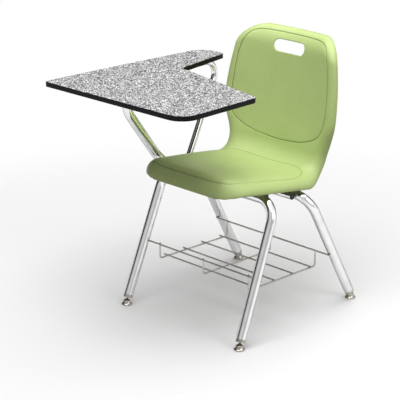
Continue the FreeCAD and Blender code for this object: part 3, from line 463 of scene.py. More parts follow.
# %% [markdown]
# ## The shell's sheet
# Seat and back are one sheet: flat along the seat, round a crease and flat up the back. It is dished
# for the sitter, and its rim rolls away all round. Because that is a rule, any point of the face can
# be worked out from two lengths on the sheet: how far across from the middle and how far along from
# the front edge. A grid bent by Geometry Nodes could follow that rule too, but its rows would cut
# across the panel lines and the slot. Here the mesh is free to put its points where the detail is.

# %% Sizes of the sheet
SEAT_FRONT_Y, SEAT_FRONT_Z, SEAT_DEPTH = -233.5, 482.5, 359.0
SLOPE, LEAN = math.radians(8.8), math.radians(8.8)
CREASE_BEND, BACK_TOP_Z, WALL = 49.0, 813.5, 5.0
FRONT_HALF, REAR_HALF, WAIST_HALF, BACK_HALF, TOP_HALF = 187.0, 206.0, 185.5, 215.5, 180.5
WIDEST_BEFORE_CREASE, WAIST_UP, WIDEST_UP_BACK = 6.0, 11.5, 101.0
FRONT_CORNER, TOP_CORNER = 63.5, 74.0
# a roll is how far in the rim starts to turn away, a lip is how deep it then goes
FRONT_ROLL, FRONT_LIP = 28.0, 56.0
SIDE_ROLL, SIDE_LIP = 70.0, 39.0
BACK_ROLL, BACK_LIP = 26.5, 23.5
TOP_ROLL, TOP_LIP = 60.0, 49.0
FLARE_ROLL, FLARE_LIP, FLARE_UP, FLARE_LONG = 13.5, 14.5, 40.0, 62.5
SEAT_DISH, BACK_DISH = 5.0, 36.0
DISH_START, DISH_FADE, DISH_LEFT = 120.0, 150.0, 126.0

SIDEWAYS = np.array([1.0, 0, 0])
SEAT_WAY = np.array([0, math.cos(SLOPE), -math.sin(SLOPE)])
SEAT_OUT = np.array([0, math.sin(SLOPE), math.cos(SLOPE)])
BACK_WAY = np.array([0, math.sin(LEAN), math.cos(LEAN)])
BACK_OUT = np.array([0, -math.cos(LEAN), math.sin(LEAN)])
CREASE_TURN = math.acos(SEAT_WAY @ BACK_WAY)
CREASE_REACH = CREASE_BEND * math.tan(CREASE_TURN / 2)
FRONT = np.array([0, SEAT_FRONT_Y, SEAT_FRONT_Z])
SEAT_LONG = SEAT_DEPTH / math.cos(SLOPE)
MEET = FRONT + SEAT_WAY * SEAT_LONG
SEAT_END = SEAT_LONG - CREASE_REACH
BACK_START = SEAT_END + CREASE_BEND * CREASE_TURN
BACK_FOOT = MEET + BACK_WAY * CREASE_REACH
SHEET_END = BACK_START + (BACK_TOP_Z - BACK_FOOT[2]) / math.cos(LEAN)
MID_CREASE = (SEAT_END + BACK_START) / 2
SEAT_WIDEST = SEAT_END - WIDEST_BEFORE_CREASE
WAIST = MID_CREASE + WAIST_UP
FLARE = MID_CREASE + FLARE_UP
MID_BACK = BACK_START + WIDEST_UP_BACK
print("sheet: %.0f mm long, crease from %.0f to %.0f" % (SHEET_END, SEAT_END, BACK_START))

# %% [markdown]
# Laid flat, the sheet is widest near the rear of the seat and in the middle of the back, with a waist
# at the crease. Its half width at any length runs smoothly between those few sizes, and the four
# corners are quarter circles.


# %% Outline of the sheet
def eased(share):
    """A share from 0 to 1 that starts and stops gently."""
    share = np.clip(share, 0, 1)
    return share * share * (3 - 2 * share)


def mix(low, high, share):
    """The value at a share of the way between two others."""
    return low + (high - low) * share


def sheet_half(along):
    """Half width before the corners are rounded."""
    front = mix(REAR_HALF, FRONT_HALF, 1 - np.cos((1 - along / SEAT_WIDEST) * np.pi / 2))
    seat = mix(REAR_HALF, WAIST_HALF, eased((along - SEAT_WIDEST) / (WAIST - SEAT_WIDEST)))
    back = mix(WAIST_HALF, BACK_HALF, eased((along - WAIST) / (MID_BACK - WAIST)))
    top = mix(BACK_HALF, TOP_HALF, 1 - np.cos((along - MID_BACK) / (SHEET_END - MID_BACK) * np.pi / 2))
    return np.select([along < SEAT_WIDEST, along < WAIST, along < MID_BACK], [front, seat, back], top)


def corner_loss(distance, radius):
    """How much a round corner takes off the width, at a distance from the end."""
    gap = np.maximum(radius - distance, 0)
    return radius - np.sqrt(np.maximum(radius ** 2 - gap ** 2, 0))


def rim_half(along):
    """Half width with the corners rounded."""
    return sheet_half(along) - corner_loss(along, FRONT_CORNER) - corner_loss(SHEET_END - along, TOP_CORNER)


widths = 2 * rim_half(np.array([FRONT_CORNER, WAIST, MID_BACK]))
print("widths: front %.0f, waist %.0f, back %.0f" % tuple(widths))

# %% [markdown]
# The sheet's middle line gives each length its place and directions. From there a point goes sideways,
# down into the dish and, near the rim, down along a quarter of an ellipse, which is the roll. The way
# out of the plastic comes from the same rule, because grooves and wall are measured along it.


# %% Points of the sheet
def sheet_frame(along):
    """Middle line of the sheet: its points, its way and the way to the sitter."""
    s = along[:, None]
    angle = (s - SEAT_END) / CREASE_BEND
    bent_out = SEAT_OUT * np.cos(angle) - SEAT_WAY * np.sin(angle)
    bent_way = SEAT_WAY * np.cos(angle) + SEAT_OUT * np.sin(angle)
    bent = FRONT + SEAT_WAY * SEAT_END + SEAT_OUT * CREASE_BEND - bent_out * CREASE_BEND
    on_seat, on_back = s <= SEAT_END, s >= BACK_START
    behind = np.where(on_back, BACK_FOOT + BACK_WAY * (s - BACK_START), bent)
    spot = np.where(on_seat, FRONT + SEAT_WAY * s, behind)
    way = np.where(on_seat, SEAT_WAY, np.where(on_back, BACK_WAY, bent_way))
    out = np.where(on_seat, SEAT_OUT, np.where(on_back, BACK_OUT, bent_out))
    return spot, way, out


def on_the_back(along):
    """0 on the seat, 1 on the back and a share between them round the crease."""
    return eased((along - SEAT_END) / (BACK_START - SEAT_END))


def rim_of(across, along):
    """Distance from the rim, the way inward, and the width and depth of the roll there."""
    half = sheet_half(along)
    on_front = along < WAIST
    corner = np.where(on_front, FRONT_CORNER, TOP_CORNER)
    edge = np.where(on_front, along, SHEET_END - along)
    sign = np.where(on_front, 1.0, -1.0)
    side = np.where(across >= 0, 1.0, -1.0)
    past_side, past_end = np.abs(across) - (half - corner), corner - edge
    in_corner = (past_side > 0) & (past_end > 0)
    reach = np.maximum(np.hypot(past_side, past_end), 1e-6)
    at_end = ~in_corner & (edge < half - np.abs(across))
    inside = np.select([in_corner, at_end], [corner - reach, edge], half - np.abs(across))
    inward_x = np.select([in_corner, at_end], [-side * past_side / reach, 0.0], -side)
    inward_s = np.select([in_corner, at_end], [sign * past_end / reach, sign], 0.0)
    angle = np.arctan2(np.maximum(past_end, 0), np.maximum(past_side, 1e-9))
    turn = np.select([in_corner, at_end], [eased(angle / (np.pi / 2)), 1.0], 0.0)
    up = on_the_back(along)
    flare = np.exp(-((along - FLARE) / FLARE_LONG) ** 2)
    side_roll = mix(SIDE_ROLL, BACK_ROLL, up) + FLARE_ROLL * flare
    side_lip = mix(SIDE_LIP, BACK_LIP, up) + FLARE_LIP * flare
    roll = mix(side_roll, np.where(on_front, FRONT_ROLL, TOP_ROLL), turn)
    lip = mix(side_lip, np.where(on_front, FRONT_LIP, TOP_LIP), turn)
    return inside, inward_x, inward_s, roll, lip


def sheet_points(across, along):
    """Points of the sitter's face, and the way out of the plastic there."""
    across, along = np.asarray(across, float), np.asarray(along, float)
    inside, inward_x, inward_s, roll, lip = rim_of(across, along)
    near = np.clip(1 - inside / roll, 0, 1)
    level = np.sqrt(np.maximum(1 - near ** 2, 0))
    half = sheet_half(along)
    up = on_the_back(along)
    seat_dish = SEAT_DISH * eased(along / DISH_START) * (1 - up)
    back_dish = BACK_DISH * up * eased((SHEET_END - along + DISH_LEFT) / DISH_FADE)
    dish = seat_dish + back_dish
    hollow = dish * np.maximum(1 - (across / half) ** 2, 0)
    spot, way, out = sheet_frame(along)
    face = spot + across[:, None] * SIDEWAYS - out * (hollow + lip * (1 - level))[:, None]
    steep = lip / roll * near
    inward = inward_x[:, None] * SIDEWAYS + inward_s[:, None] * way
    normal = out * level[:, None] - inward * steep[:, None]
    normal += SIDEWAYS * (-2 * dish * across / half ** 2 * level)[:, None]
    return face, normal / np.linalg.norm(normal, axis=1)[:, None]


ends = sheet_points([0.0, 0.0], [0.0, SHEET_END])[0]
print("front edge at", ends[0].round(1), "top edge at", ends[1].round(1))

# %% [markdown]
# ## Panel lines and hand slot
# Two fine lines are moulded into the shell, one round the seat panel and one round the back panel.
# Each is given by a few points on one side, mirrored and joined by a smooth closed curve. They are real
# grooves in the mesh, rows of points that sink into the plastic, and the finish paints shade into them.
# The hand slot is a rounded trapezoid whose edges roll over into the wall.

# %% Panel lines
# across and along the sheet, from the middle line round to it again
BACK_PANEL = [(0, 719), (60, 719), (102, 718), (132, 712), (149, 699), (163, 672), (175, 629), (182, 560),
              (184, 500), (174, 456), (150, 431), (98, 411), (44, 403), (0, 400)]
SEAT_PANEL = [(0, 9), (60, 9), (98, 9.5), (130, 12), (147, 20), (158, 38), (166, 90), (172, 150),
              (180, 231), (179, 283), (162, 324), (135, 343), (96, 351), (50, 352), (0, 351)]
LINE_STEP, SPAN_POINTS = 3.0, 24


def evenly(loop, step):
    """The same closed line, with its points a step apart."""
    ring = np.vstack([loop, loop[:1]])
    length = np.concatenate([[0], np.cumsum(np.linalg.norm(np.diff(ring, axis=0), axis=1))])
    want = np.linspace(0, length[-1], max(int(round(length[-1] / step)), 8), endpoint=False)
    return np.column_stack([np.interp(want, length, ring[:, i]) for i in (0, 1)])


def closed_line(half_points):
    """A smooth closed line through points and their mirror images, in even steps."""
    mirror = [(-x, s) for x, s in half_points[-2:0:-1]]
    points = np.array(half_points + mirror, float)
    a, b, c, d = (np.roll(points, shift, 0)[:, None, :] for shift in (1, 0, -1, -2))
    t = np.linspace(0, 1, SPAN_POINTS, endpoint=False)[None, :, None]
    bend, twist = 2 * a - 5 * b + 4 * c - d, 3 * b - a - 3 * c + d
    fine = 0.5 * (2 * b + (c - a) * t + bend * t ** 2 + twist * t ** 3)
    return evenly(fine.reshape(-1, 2), LINE_STEP)


groove_lines = [closed_line(BACK_PANEL), closed_line(SEAT_PANEL)]
print("panel lines:", [len(line) for line in groove_lines], "points")

# %% Hand slot
SLOT_DROP = 53.0
SLOT_TOP, SLOT_LOW, SLOT_TALL, SLOT_ROUND = 125.0, 111.0, 37.0, 17.0
SLOT_ALONG = BACK_START + (BACK_TOP_Z - SLOT_DROP - BACK_FOOT[2]) / math.cos(LEAN)


def rounded_corners(corners, arc_points=10):
    """A closed line with an arc at each corner (x, y, radius)."""
    line = []
    for i, (x, y, radius) in enumerate(corners):
        corner = np.array([x, y])
        come = np.array(corners[i - 1][:2]) - corner
        go = np.array(corners[(i + 1) % len(corners)][:2]) - corner
        come, go = come / np.linalg.norm(come), go / np.linalg.norm(go)
        half = math.acos(np.clip(come @ go, -1, 1)) / 2
        middle = (come + go) / np.linalg.norm(come + go)
        centre = corner + middle * radius / math.sin(half)
        start, end = corner + come * radius / math.tan(half), corner + go * radius / math.tan(half)
        for k in range(arc_points + 1):
            spoke = mix(start, end, k / arc_points) - centre
            line.append(centre + spoke / np.linalg.norm(spoke) * radius)
    return np.array(line)


half_top, half_low, half_tall = SLOT_TOP / 2, SLOT_LOW / 2, SLOT_TALL / 2
slot_corners = [(x, SLOT_ALONG + rise, SLOT_ROUND) for x, rise in (
    (-half_top, half_tall), (half_top, half_tall), (half_low, -half_tall), (-half_low, -half_tall))]
slot_line = evenly(rounded_corners(slot_corners), LINE_STEP)
print("slot: %d points" % len(slot_line))

# %% [markdown]
# The rim is the outline of the sheet laid flat, as one closed line in even steps. How wide its roll is
# at each step is read just inside it, since the rule holds for points of the sheet.

# %% Rim of the sheet
RIM_STEP, SIDE_STEP, CORNER_POINTS = 5.0, 4.0, 25
JUST_INSIDE = 0.5


def rim_line():
    """The sheet's outline, front corner to top and back down the other side."""
    turn = np.linspace(0, np.pi / 2, CORNER_POINTS)
    low = FRONT_CORNER * (1 - np.cos(turn))
    high = SHEET_END - TOP_CORNER * (1 - np.cos(turn[::-1]))
    between = np.arange(FRONT_CORNER + SIDE_STEP, SHEET_END - TOP_CORNER - SIDE_STEP / 2, SIDE_STEP)
    side = np.concatenate([low, between, high])
    left = np.column_stack([rim_half(side), side])
    right = np.column_stack([-rim_half(side[::-1]), side[::-1]])
    return evenly(np.vstack([left, right]), RIM_STEP)


def outward(loop):
    """The way out of a closed line at each of its points."""
    way = np.roll(loop, -1, 0) - np.roll(loop, 1, 0)
    way /= np.linalg.norm(way, axis=1)[:, None]
    area = np.sum(loop[:, 0] * np.roll(loop[:, 1], -1) - loop[:, 1] * np.roll(loop[:, 0], -1))
    return np.column_stack([way[:, 1], -way[:, 0]]) * np.sign(area)


rim = rim_line()
rim_out = outward(rim)
rim_roll = rim_of(*(rim - rim_out * JUST_INSIDE).T)[3]
print("rim: %d points, roll %.0f to %.0f mm" % (len(rim), rim_roll.min(), rim_roll.max()))

# %% [markdown]
# The points of one side of the sheet are: rows that follow the rim and crowd together where it rolls,
# rows on both sides of each panel line, rings round the slot, and an even grid for what is left. A
# constrained Delaunay triangulation joins them into triangles that keep the rim and the slot as edges.

# %% Triangles of one side
GROOVE_ROWS = (-2.6, -1.5, -0.8, 0.0, 0.8, 1.5, 2.6)
GROOVE_CLEAR, SLOT_CLEAR, RIM_CLEAR = 3.6, 2.5, 0.98
SLOT_EDGE, SLOT_RING = 1.8, 4.0
GRID_HALF, GRID_START = 230, 3
AT_ONCE = 400


def nearest(points, line):
    """Distance from each point to the nearest point of a line."""
    return np.concatenate([np.sqrt(((chunk[:, None, :] - line[None]) ** 2).sum(2)).min(1)
                           for chunk in np.array_split(points, max(len(points) // AT_ONCE, 1))])


def inside_loop(points, loop):
    """Which points lie inside a closed line."""
    x, y = points[:, :1], points[:, 1:]
    x0, y0 = loop[:, 0][None], loop[:, 1][None]
    x1, y1 = np.roll(loop[:, 0], -1)[None], np.roll(loop[:, 1], -1)[None]
    crosses = ((y0 > y) != (y1 > y)) & (x < (x1 - x0) * (y - y0) / np.where(y1 == y0, 1e-9, y1 - y0) + x0)
    return crosses.sum(1) % 2 == 1


def triangulated(rows, spacing, lines):
    """Points on the sheet, the triangles between them, and which points are the rim's and the slot's."""
    hole = slot_line + outward(slot_line) * SLOT_EDGE
    shares = [1 - math.sin(k / rows * math.pi / 2) for k in range(rows)]
    loose = [rim - rim_out * (rim_roll * share)[:, None] for share in shares]
    columns = np.arange(-GRID_HALF, GRID_HALF + 1, spacing)
    grid = np.stack(np.meshgrid(columns, np.arange(GRID_START, SHEET_END, spacing)), -1).reshape(-1, 2)
    room = nearest(grid, rim) > max(rim_roll.max(), spacing) * RIM_CLEAR
    loose = np.vstack(loose + [grid[room], hole + outward(hole) * SLOT_RING])
    keep = ~inside_loop(loose, hole) & (nearest(loose, hole) > SLOT_CLEAR)
    for line in lines:
        keep &= nearest(loose, line) > GROOVE_CLEAR
    beside = [line + outward(line) * offset for line in lines for offset in GROOVE_ROWS]
    points = np.vstack([rim, hole, loose[keep]] + beside)
    n, m = len(rim), len(hole)
    edges = [(i, (i + 1) % n) for i in range(n)] + [(n + i, n + (i + 1) % m) for i in range(m)]
    found = delaunay_2d_cdt([Vector(p) for p in points], edges, [], 0, 1e-5)
    spots = np.array([tuple(v) for v in found[0]])
    faces = np.array([f for f in found[2] if len(f) == 3])
    centres = spots[faces].mean(1)
    good = inside_loop(centres, rim) & ~inside_loop(centres, hole)
    source = {found[3][i][0]: i for i in range(len(spots)) if found[3][i]}
    return spots, faces[good], [source[i] for i in range(n)], [source[n + i] for i in range(m)]


face_spots, face_tris, face_rim, face_slot = triangulated(rows=9, spacing=6.0, lines=groove_lines)
back_spots, back_tris, back_rim, back_slot = triangulated(rows=5, spacing=12.0, lines=[])
print("sitter's side: %d triangles, far side: %d" % (len(face_tris), len(back_tris)))

# %% [markdown]
# Each side is then lifted from the flat sheet to its place in space, and the panel lines sink into the
# face. The far side lies one wall below. A row of rings closes the rim with a rounded edge, and another
# one lines the hand slot.

# %% Sides and edges of the shell
# GROOVE_SHADE is how strongly painted shade darkens the back's and the seat's panel line
GROOVE_DEEP, GROOVE_SHADE, GROOVE_WIDE, GROOVE_STEP = (1.8, 1.1), (1.0, 0.45), 1.1, 0.7
RIM_BULGE = 2.0


def grooved_face():
    """Points of the sitter's side, and how much painted shade each takes along the panel lines."""
    face, way = sheet_points(*face_spots.T)
    marked = np.zeros(len(face))
    for line, deep, line_shade in zip(groove_lines, GROOVE_DEEP, GROOVE_SHADE):
        gap = nearest(face_spots, evenly(line, GROOVE_STEP))
        sunk = np.exp(-(gap / GROOVE_WIDE) ** 2)
        face -= way * (deep * sunk)[:, None]
        # painted shade: the mark is strongest at the bottom of each groove
        marked = np.maximum(marked, line_shade * sunk)
    return face, marked


def rim_rings(top, bottom):
    """Rings of points that round the rim's edge, from the face to the far side."""
    run = np.roll(top, -1, 0) - np.roll(top, 1, 0)
    down = np.cross(top - bottom, run)
    down /= np.linalg.norm(down, axis=1)[:, None]
    down *= np.sign(-(down * sheet_frame(face_spots[face_rim, 1])[2]).sum(1))[:, None]
    middle, reach = (top + bottom) / 2, (top - bottom) / 2
    return [middle + reach * math.cos(angle) + down * RIM_BULGE * math.sin(angle)
            for angle in np.radians((30, 60, 90, 120, 150))]


def slot_rings():
    """Rings of points that line the slot, rounded at both faces of the wall."""
    rings = []
    for angle, far in ((30, False), (60, False), (90, False), (90, True), (60, True), (30, True)):
        opened = slot_line + outward(slot_line) * SLOT_EDGE * (1 - math.sin(math.radians(angle)))
        deep = SLOT_EDGE * (1 - math.cos(math.radians(angle)))
        spot, way = sheet_points(*opened.T)
        rings.append(spot - way * (WALL - deep if far else deep))
    return rings


shell_face, shell_marks = grooved_face()
under_top, under_way = sheet_points(*back_spots.T)
shell_under = under_top - under_way * WALL
edge_rings = rim_rings(shell_face[face_rim], shell_under[back_rim])
lining_rings = slot_rings()
print("rings: %d round the rim, %d in the slot" % (len(edge_rings), len(lining_rings)))


# %% Shell mesh
def ring_faces(first, second):
    """Quads between two rings of points."""
    count = len(first)
    return [(first[i], first[(i + 1) % count], second[(i + 1) % count], second[i]) for i in range(count)]


start = len(shell_face)
shell_faces = [tuple(t) for t in face_tris] + [tuple(t[::-1] + start) for t in back_tris]
shell_verts = np.vstack([shell_face, shell_under])
for first, rings, last, outside in ((face_rim, edge_rings, back_rim, True),
                                    (face_slot, lining_rings, back_slot, False)):
    numbers = [list(first)]
    for ring in rings:
        numbers.append(list(range(len(shell_verts), len(shell_verts) + len(ring))))
        shell_verts = np.vstack([shell_verts, ring])
    numbers.append([i + start for i in last])
    for upper, lower in zip(numbers, numbers[1:]):
        shell_faces += ring_faces(lower, upper) if outside else ring_faces(upper, lower)
print("shell: %d points, %d faces" % (len(shell_verts), len(shell_faces)))

# %% [markdown]
# Four bosses stand under the seat, where screws hold it to the rails. They are turned shapes, so a
# small lathe makes them: a closed profile of radius and height, swept round an axis.


# %% Lathe and bosses
def lathe(profile, spot, up=(0, 0, 1), count=48):
    """Points (in the profile's unit) and faces of a closed profile turned about an axis."""
    up = np.array(up, float)
    ahead = np.cross(up, SIDEWAYS)
    turn = np.linspace(0, 2 * np.pi, count, endpoint=False)
    spokes = np.cos(turn)[:, None] * SIDEWAYS + np.sin(turn)[:, None] * ahead
    verts = np.vstack([np.asarray(spot) + up * height + spokes * radius for radius, height in profile])
    rings = [list(range(k * count, (k + 1) * count)) for k in range(len(profile))]
    faces = []
    for k, ring in enumerate(rings):
        faces += ring_faces(ring, rings[(k + 1) % len(rings)])
    return verts, faces


RAIL_TOP_DEEP, BOSS_R, BORE_R = 35.7, 12.0, 3.1
BOSS_BEVEL, BOSS_ROOT_WIDE, BOSS_ROOT_TALL = 0.6, 2.0, 4.5
BOSS_ACROSS, BOSS_ALONG = (-112.0, 112.0), (211.5, 240.5)
BOSS_SPOTS = [(across, along) for across in BOSS_ACROSS for along in BOSS_ALONG]

boss_feet = [FRONT + SEAT_WAY * along + SIDEWAYS * across - SEAT_OUT * RAIL_TOP_DEEP
             for across, along in BOSS_SPOTS]
for foot, (across, along) in zip(boss_feet, BOSS_SPOTS):
    tall = (sheet_points([across], [along])[0][0] - foot) @ SEAT_OUT - WALL / 2
    profile = [(BORE_R, 0), (BOSS_R - BOSS_BEVEL, 0), (BOSS_R, BOSS_BEVEL), (BOSS_R, tall - BOSS_ROOT_TALL),
               (BOSS_R + BOSS_ROOT_WIDE, tall), (BORE_R, tall)]
    more, more_faces = lathe(profile, foot, SEAT_OUT)
    shell_faces += [tuple(i + len(shell_verts) for i in f) for f in more_faces]
    shell_verts = np.vstack([shell_verts, more])
print("bosses: %d, %.1f mm tall" % (len(boss_feet), tall))

# %% [markdown]
# The mesh is marked before it becomes a piece: each point of the face says how much painted shade of a
# panel line it takes, and the finish darkens the green by that mark. The piece rides on the frame and
# stands for the plain solid.


# %% Shell piece
def new_piece(name, verts, faces, material, sharp):
    """A mesh object from points in metres, smooth but for edges sharper than an angle."""
    mesh = bpy.data.meshes.new(name)
    mesh.from_pydata([tuple(v) for v in verts], [], [tuple(int(i) for i in f) for f in faces])
    mesh.materials.append(material)
    mesh.polygons.foreach_set("use_smooth", [True] * len(mesh.polygons))
    mesh.set_sharp_from_angle(angle=math.radians(sharp))
    mesh.update()
    return in_scene(name, mesh)


shell = new_piece("shell_moulded", placed(shell_verts), shell_faces, shell_finish, sharp=70)
# the panel line mark is painted shade, which the green finish mixes in
unmarked = np.zeros(len(shell_verts) - len(shell_marks))
panel_line = shell.data.attributes.new("panel_line", "FLOAT", "POINT")
panel_line.data.foreach_set("value", np.concatenate([shell_marks, unmarked]))
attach(shell, "frame")
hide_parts("seat_shell")
print("shell piece: %d faces" % len(shell.data.polygons))

# %% [markdown]
# ## Bell-shaped feet
# The feet are pressed from sheet: a rolled rim, a hollow flare and a rounded neck round the ball. A
# bell is a profile about an axis, so the lathe turns them too. Inside, each one leaves room for the
# liner and the pad, which stay as the solids made them.

# %% Feet of the glides
BELL = [(14.1, 1.0), (15.3, 1.0), (15.8, 1.2), (16.0, 1.7), (16.0, 3.1), (15.7, 3.7), (15.0, 4.3),
        (13.7, 5.6), (12.5, 7.3), (11.5, 9.2), (10.8, 11.0), (10.3, 12.6), (9.9, 13.6), (9.3, 14.3),
        (8.4, 14.6), (7.2, 14.6), (6.7, 14.5), (6.7, 14.0), (7.05, 13.05), (8.1, 13.05), (8.1, 2.55),
        (14.1, 2.55)]
for tag, ball in balls.items():
    verts, faces = lathe(BELL, (ball.x / MM, ball.y / MM, 0))
    foot = new_piece("foot_bell_" + tag, verts * MM, faces, nickel, sharp=50)
    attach(foot, "foot_" + tag)
    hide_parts("glide_%s_foot" % tag)
print("feet: %d, %d points round each" % (len(balls), len(verts) // len(BELL)))

# %% [markdown]
# ## Geometry trees
# What repeats, or follows a path, is grown by Geometry Nodes: a few seed points go in, a tree with
# named inputs does the work, and the result is kept as a plain mesh. Every tree ends alike: its
# instances are made real and get their finish.


# %% Growing a piece from a tree
def new_tree(name, **inputs):
    """A geometry tree with named inputs, and its group input's outputs."""
    tree = bpy.data.node_groups.new(name, "GeometryNodeTree")
    tree.interface.new_socket("Geometry", in_out="INPUT", socket_type="NodeSocketGeometry")
    for label, kind in inputs.items():
        tree.interface.new_socket(label, in_out="INPUT", socket_type="NodeSocket" + kind)
    tree.interface.new_socket("Geometry", in_out="OUTPUT", socket_type="NodeSocketGeometry")
    return tree, add(tree, "NodeGroupInput").outputs


def end_tree(tree, geometry, material):
    """The end of a tree: instances made real, a finish and the output."""
    plain = add(tree, "GeometryNodeRealizeInstances", inputs={0: geometry})
    dressed = add(tree, "GeometryNodeSetMaterial", inputs={"Geometry": plain, "Material": material})
    add(tree, "NodeGroupOutput", inputs={0: dressed})
    print("%s: %d nodes" % (tree.name, len(tree.nodes)))


def grown(name, tree, points, edges=(), numbers=None, **values):
    """The mesh that a tree grows from points in metres, as a new piece."""
    seed = bpy.data.meshes.new(name + "_seed")
    seed.from_pydata([tuple(p) for p in points], list(edges), [])
    for label, row in (numbers or {}).items():
        row = np.asarray(row, float)
        kind, key = ("FLOAT", "value") if row.ndim == 1 else ("FLOAT_VECTOR", "vector")
        seed.attributes.new(label, kind, "POINT").data.foreach_set(key, row.ravel())
    piece = in_scene(name, seed)
    modifier = piece.modifiers.new("grow", "NODES")
    modifier.node_group = tree
    for socket in tree.interface.items_tree:
        if socket.in_out == "INPUT" and socket.name in values:
            modifier[socket.identifier] = values[socket.name]
    depsgraph = bpy.context.evaluated_depsgraph_get()
    mesh = bpy.data.meshes.new_from_object(piece.evaluated_get(depsgraph))
    piece.modifiers.clear()
    piece.data = mesh
    mesh.name = name
    bpy.data.meshes.remove(seed)
    size_mm = [round(d / MM, 1) for d in piece.dimensions]
    print("%s: %d faces, box %s mm" % (name, len(mesh.polygons), size_mm))
    return piece


print("trees so far:", len(bpy.data.node_groups))

# %% [markdown]
# ## Edge strip
# The strip follows the tablet's outline. The seed is the outline's seven corners, each with its own
# radius; the tree rounds them and sweeps a flat profile along, its outer corners rounded more.

# %% Tree of the strip
STRIP_OUTER_ROUND, STRIP_INNER_ROUND = 0.6 * MM, 0.1 * MM

tree, given = new_tree("strip_along_outline", Thickness="Float", Height="Float", Material="Material")
outline = add(tree, "GeometryNodeMeshToCurve", inputs={0: given["Geometry"]})
radius = add(tree, "GeometryNodeInputNamedAttribute", {"data_type": "FLOAT"}, {"Name": "corner_radius"})
rounded = add(tree, "GeometryNodeFilletCurve", {"mode": "POLY"},
              {"Curve": outline, "Radius": radius, "Count": 16, "Limit Radius": True})
level = add(tree, "GeometryNodeSetCurveNormal", {"mode": "Z_UP"}, {"Curve": rounded})
half, low, inner = [
    add(tree, "ShaderNodeMath", {"operation": "MULTIPLY"}, {0: given[size], 1: share})
    for size, share in (("Height", 0.5), ("Height", -0.5), ("Thickness", -1.0))]
corners = [add(tree, "ShaderNodeCombineXYZ", inputs={"X": x, "Y": y})
           for x, y in ((inner, low), (0.0, low), (0.0, half), (inner, half))]
flat = add(tree, "GeometryNodeCurvePrimitiveQuadrilateral", {"mode": "POINTS"},
           {"Point %d" % (i + 1): corner for i, corner in enumerate(corners)})
# corners 1 and 2 are the outer ones, half a step from the middle of the four
index = add(tree, "GeometryNodeInputIndex")
from_middle = add(tree, "ShaderNodeMath", {"operation": "SUBTRACT"}, {0: index, 1: 1.5})
from_middle = add(tree, "ShaderNodeMath", {"operation": "ABSOLUTE"}, {0: from_middle})
edge_radius = add(tree, "ShaderNodeMapRange", inputs={
    "Value": from_middle, "From Min": 0.5, "From Max": 1.5,
    "To Min": STRIP_OUTER_ROUND, "To Max": STRIP_INNER_ROUND})
profile = add(tree, "GeometryNodeFilletCurve", {"mode": "POLY"},
              {"Curve": flat, "Radius": edge_radius, "Count": 5})
swept = add(tree, "GeometryNodeCurveToMesh", inputs={"Curve": level, "Profile Curve": profile})
end_tree(tree, swept, given["Material"])

# %% Edge strip
# place and radius of each corner
TABLET_CORNERS = [(-396, -408, 10), (147, -395, 58), (159, -108, 18), (-208, -31, 16), (-233, 181, 12),
                  (-323, 181, 62), (-364, -125, 900)]
STRIP_THICK, STRIP_LOW, STRIP_HIGH = 1.0, 685.4, 700.0

count = len(TABLET_CORNERS)
strip_middle = (STRIP_LOW + STRIP_HIGH) / 2
strip = grown("tablet_strip", tree, placed([(x, y, strip_middle) for x, y, r in TABLET_CORNERS]),
              [(i, (i + 1) % count) for i in range(count)],
              {"corner_radius": [r * MM for x, y, r in TABLET_CORNERS]},
              Thickness=STRIP_THICK * MM, Height=(STRIP_HIGH - STRIP_LOW) * MM, Material=edge_black)
strip.data.set_sharp_from_angle(angle=math.radians(40))
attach(strip, "frame")
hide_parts("tablet_edge")
print("strip's lowest corner:", [round(c, 4) for c in strip.bound_box[0]])

# %% [markdown]
# ## Screws
# Screws hold the two plates to the tablet and the rails to the shell. One tree sets a screw on each
# seed point, turned to face the way the point says, with its cross recess at a random angle, as
# screws stop where they are tight.

# %% Tree of the screws
tree, given = new_tree("screws_on_points", Head="Float", Tall="Float", Shank="Float", Long="Float",
                       Seed="Int", Material="Material")
top_radius, head_radius, blade, shank_radius, sink = [
    add(tree, "ShaderNodeMath", {"operation": "MULTIPLY"}, {0: given[size], 1: share})
    for size, share in (("Head", 0.36), ("Head", 0.5), ("Head", 0.11), ("Shank", 0.5), ("Long", -1.0))]
head = add(tree, "GeometryNodeMeshCone", inputs={
    "Vertices": 32, "Radius Top": top_radius, "Radius Bottom": head_radius, "Depth": given["Tall"]})
blades = [add(tree, "ShaderNodeCombineXYZ", inputs={"X": x, "Y": y, "Z": given["Tall"]})
          for x, y in ((head_radius, blade), (blade, head_radius))]
cubes = [add(tree, "GeometryNodeMeshCube", inputs={"Size": size}) for size in blades]
lift = add(tree, "ShaderNodeCombineXYZ", inputs={"Z": given["Tall"]})
cross = add(tree, "GeometryNodeMeshBoolean", {"operation": "UNION"}, {"Mesh 2": cubes})
cross = add(tree, "GeometryNodeTransform", inputs={"Geometry": cross, "Translation": lift})
head = add(tree, "GeometryNodeMeshBoolean", {"operation": "DIFFERENCE"},
           {"Mesh 1": head, "Mesh 2": cross})
shank = add(tree, "GeometryNodeMeshCone", inputs={
    "Vertices": 24, "Radius Top": shank_radius, "Radius Bottom": shank_radius, "Depth": given["Long"]})
sink = add(tree, "ShaderNodeCombineXYZ", inputs={"Z": sink})
shank = add(tree, "GeometryNodeTransform", inputs={"Geometry": shank, "Translation": sink})
screw = add(tree, "GeometryNodeJoinGeometry", inputs={0: [head, shank]})
facing = add(tree, "GeometryNodeInputNamedAttribute", {"data_type": "FLOAT_VECTOR"}, {"Name": "facing"})
upright = add(tree, "FunctionNodeAlignRotationToVector", {"axis": "Z"}, {"Vector": facing})
spots = add(tree, "GeometryNodeMeshToPoints", inputs={0: given["Geometry"]})
set_on = add(tree, "GeometryNodeInstanceOnPoints",
             inputs={"Points": spots, "Instance": screw, "Rotation": upright})
stop = add(tree, "FunctionNodeRandomValue", {"data_type": "FLOAT"},
           {"Min": 0.0, "Max": math.pi / 2, "Seed": given["Seed"]})
stop = add(tree, "ShaderNodeCombineXYZ", inputs={"Z": stop.outputs[1]})
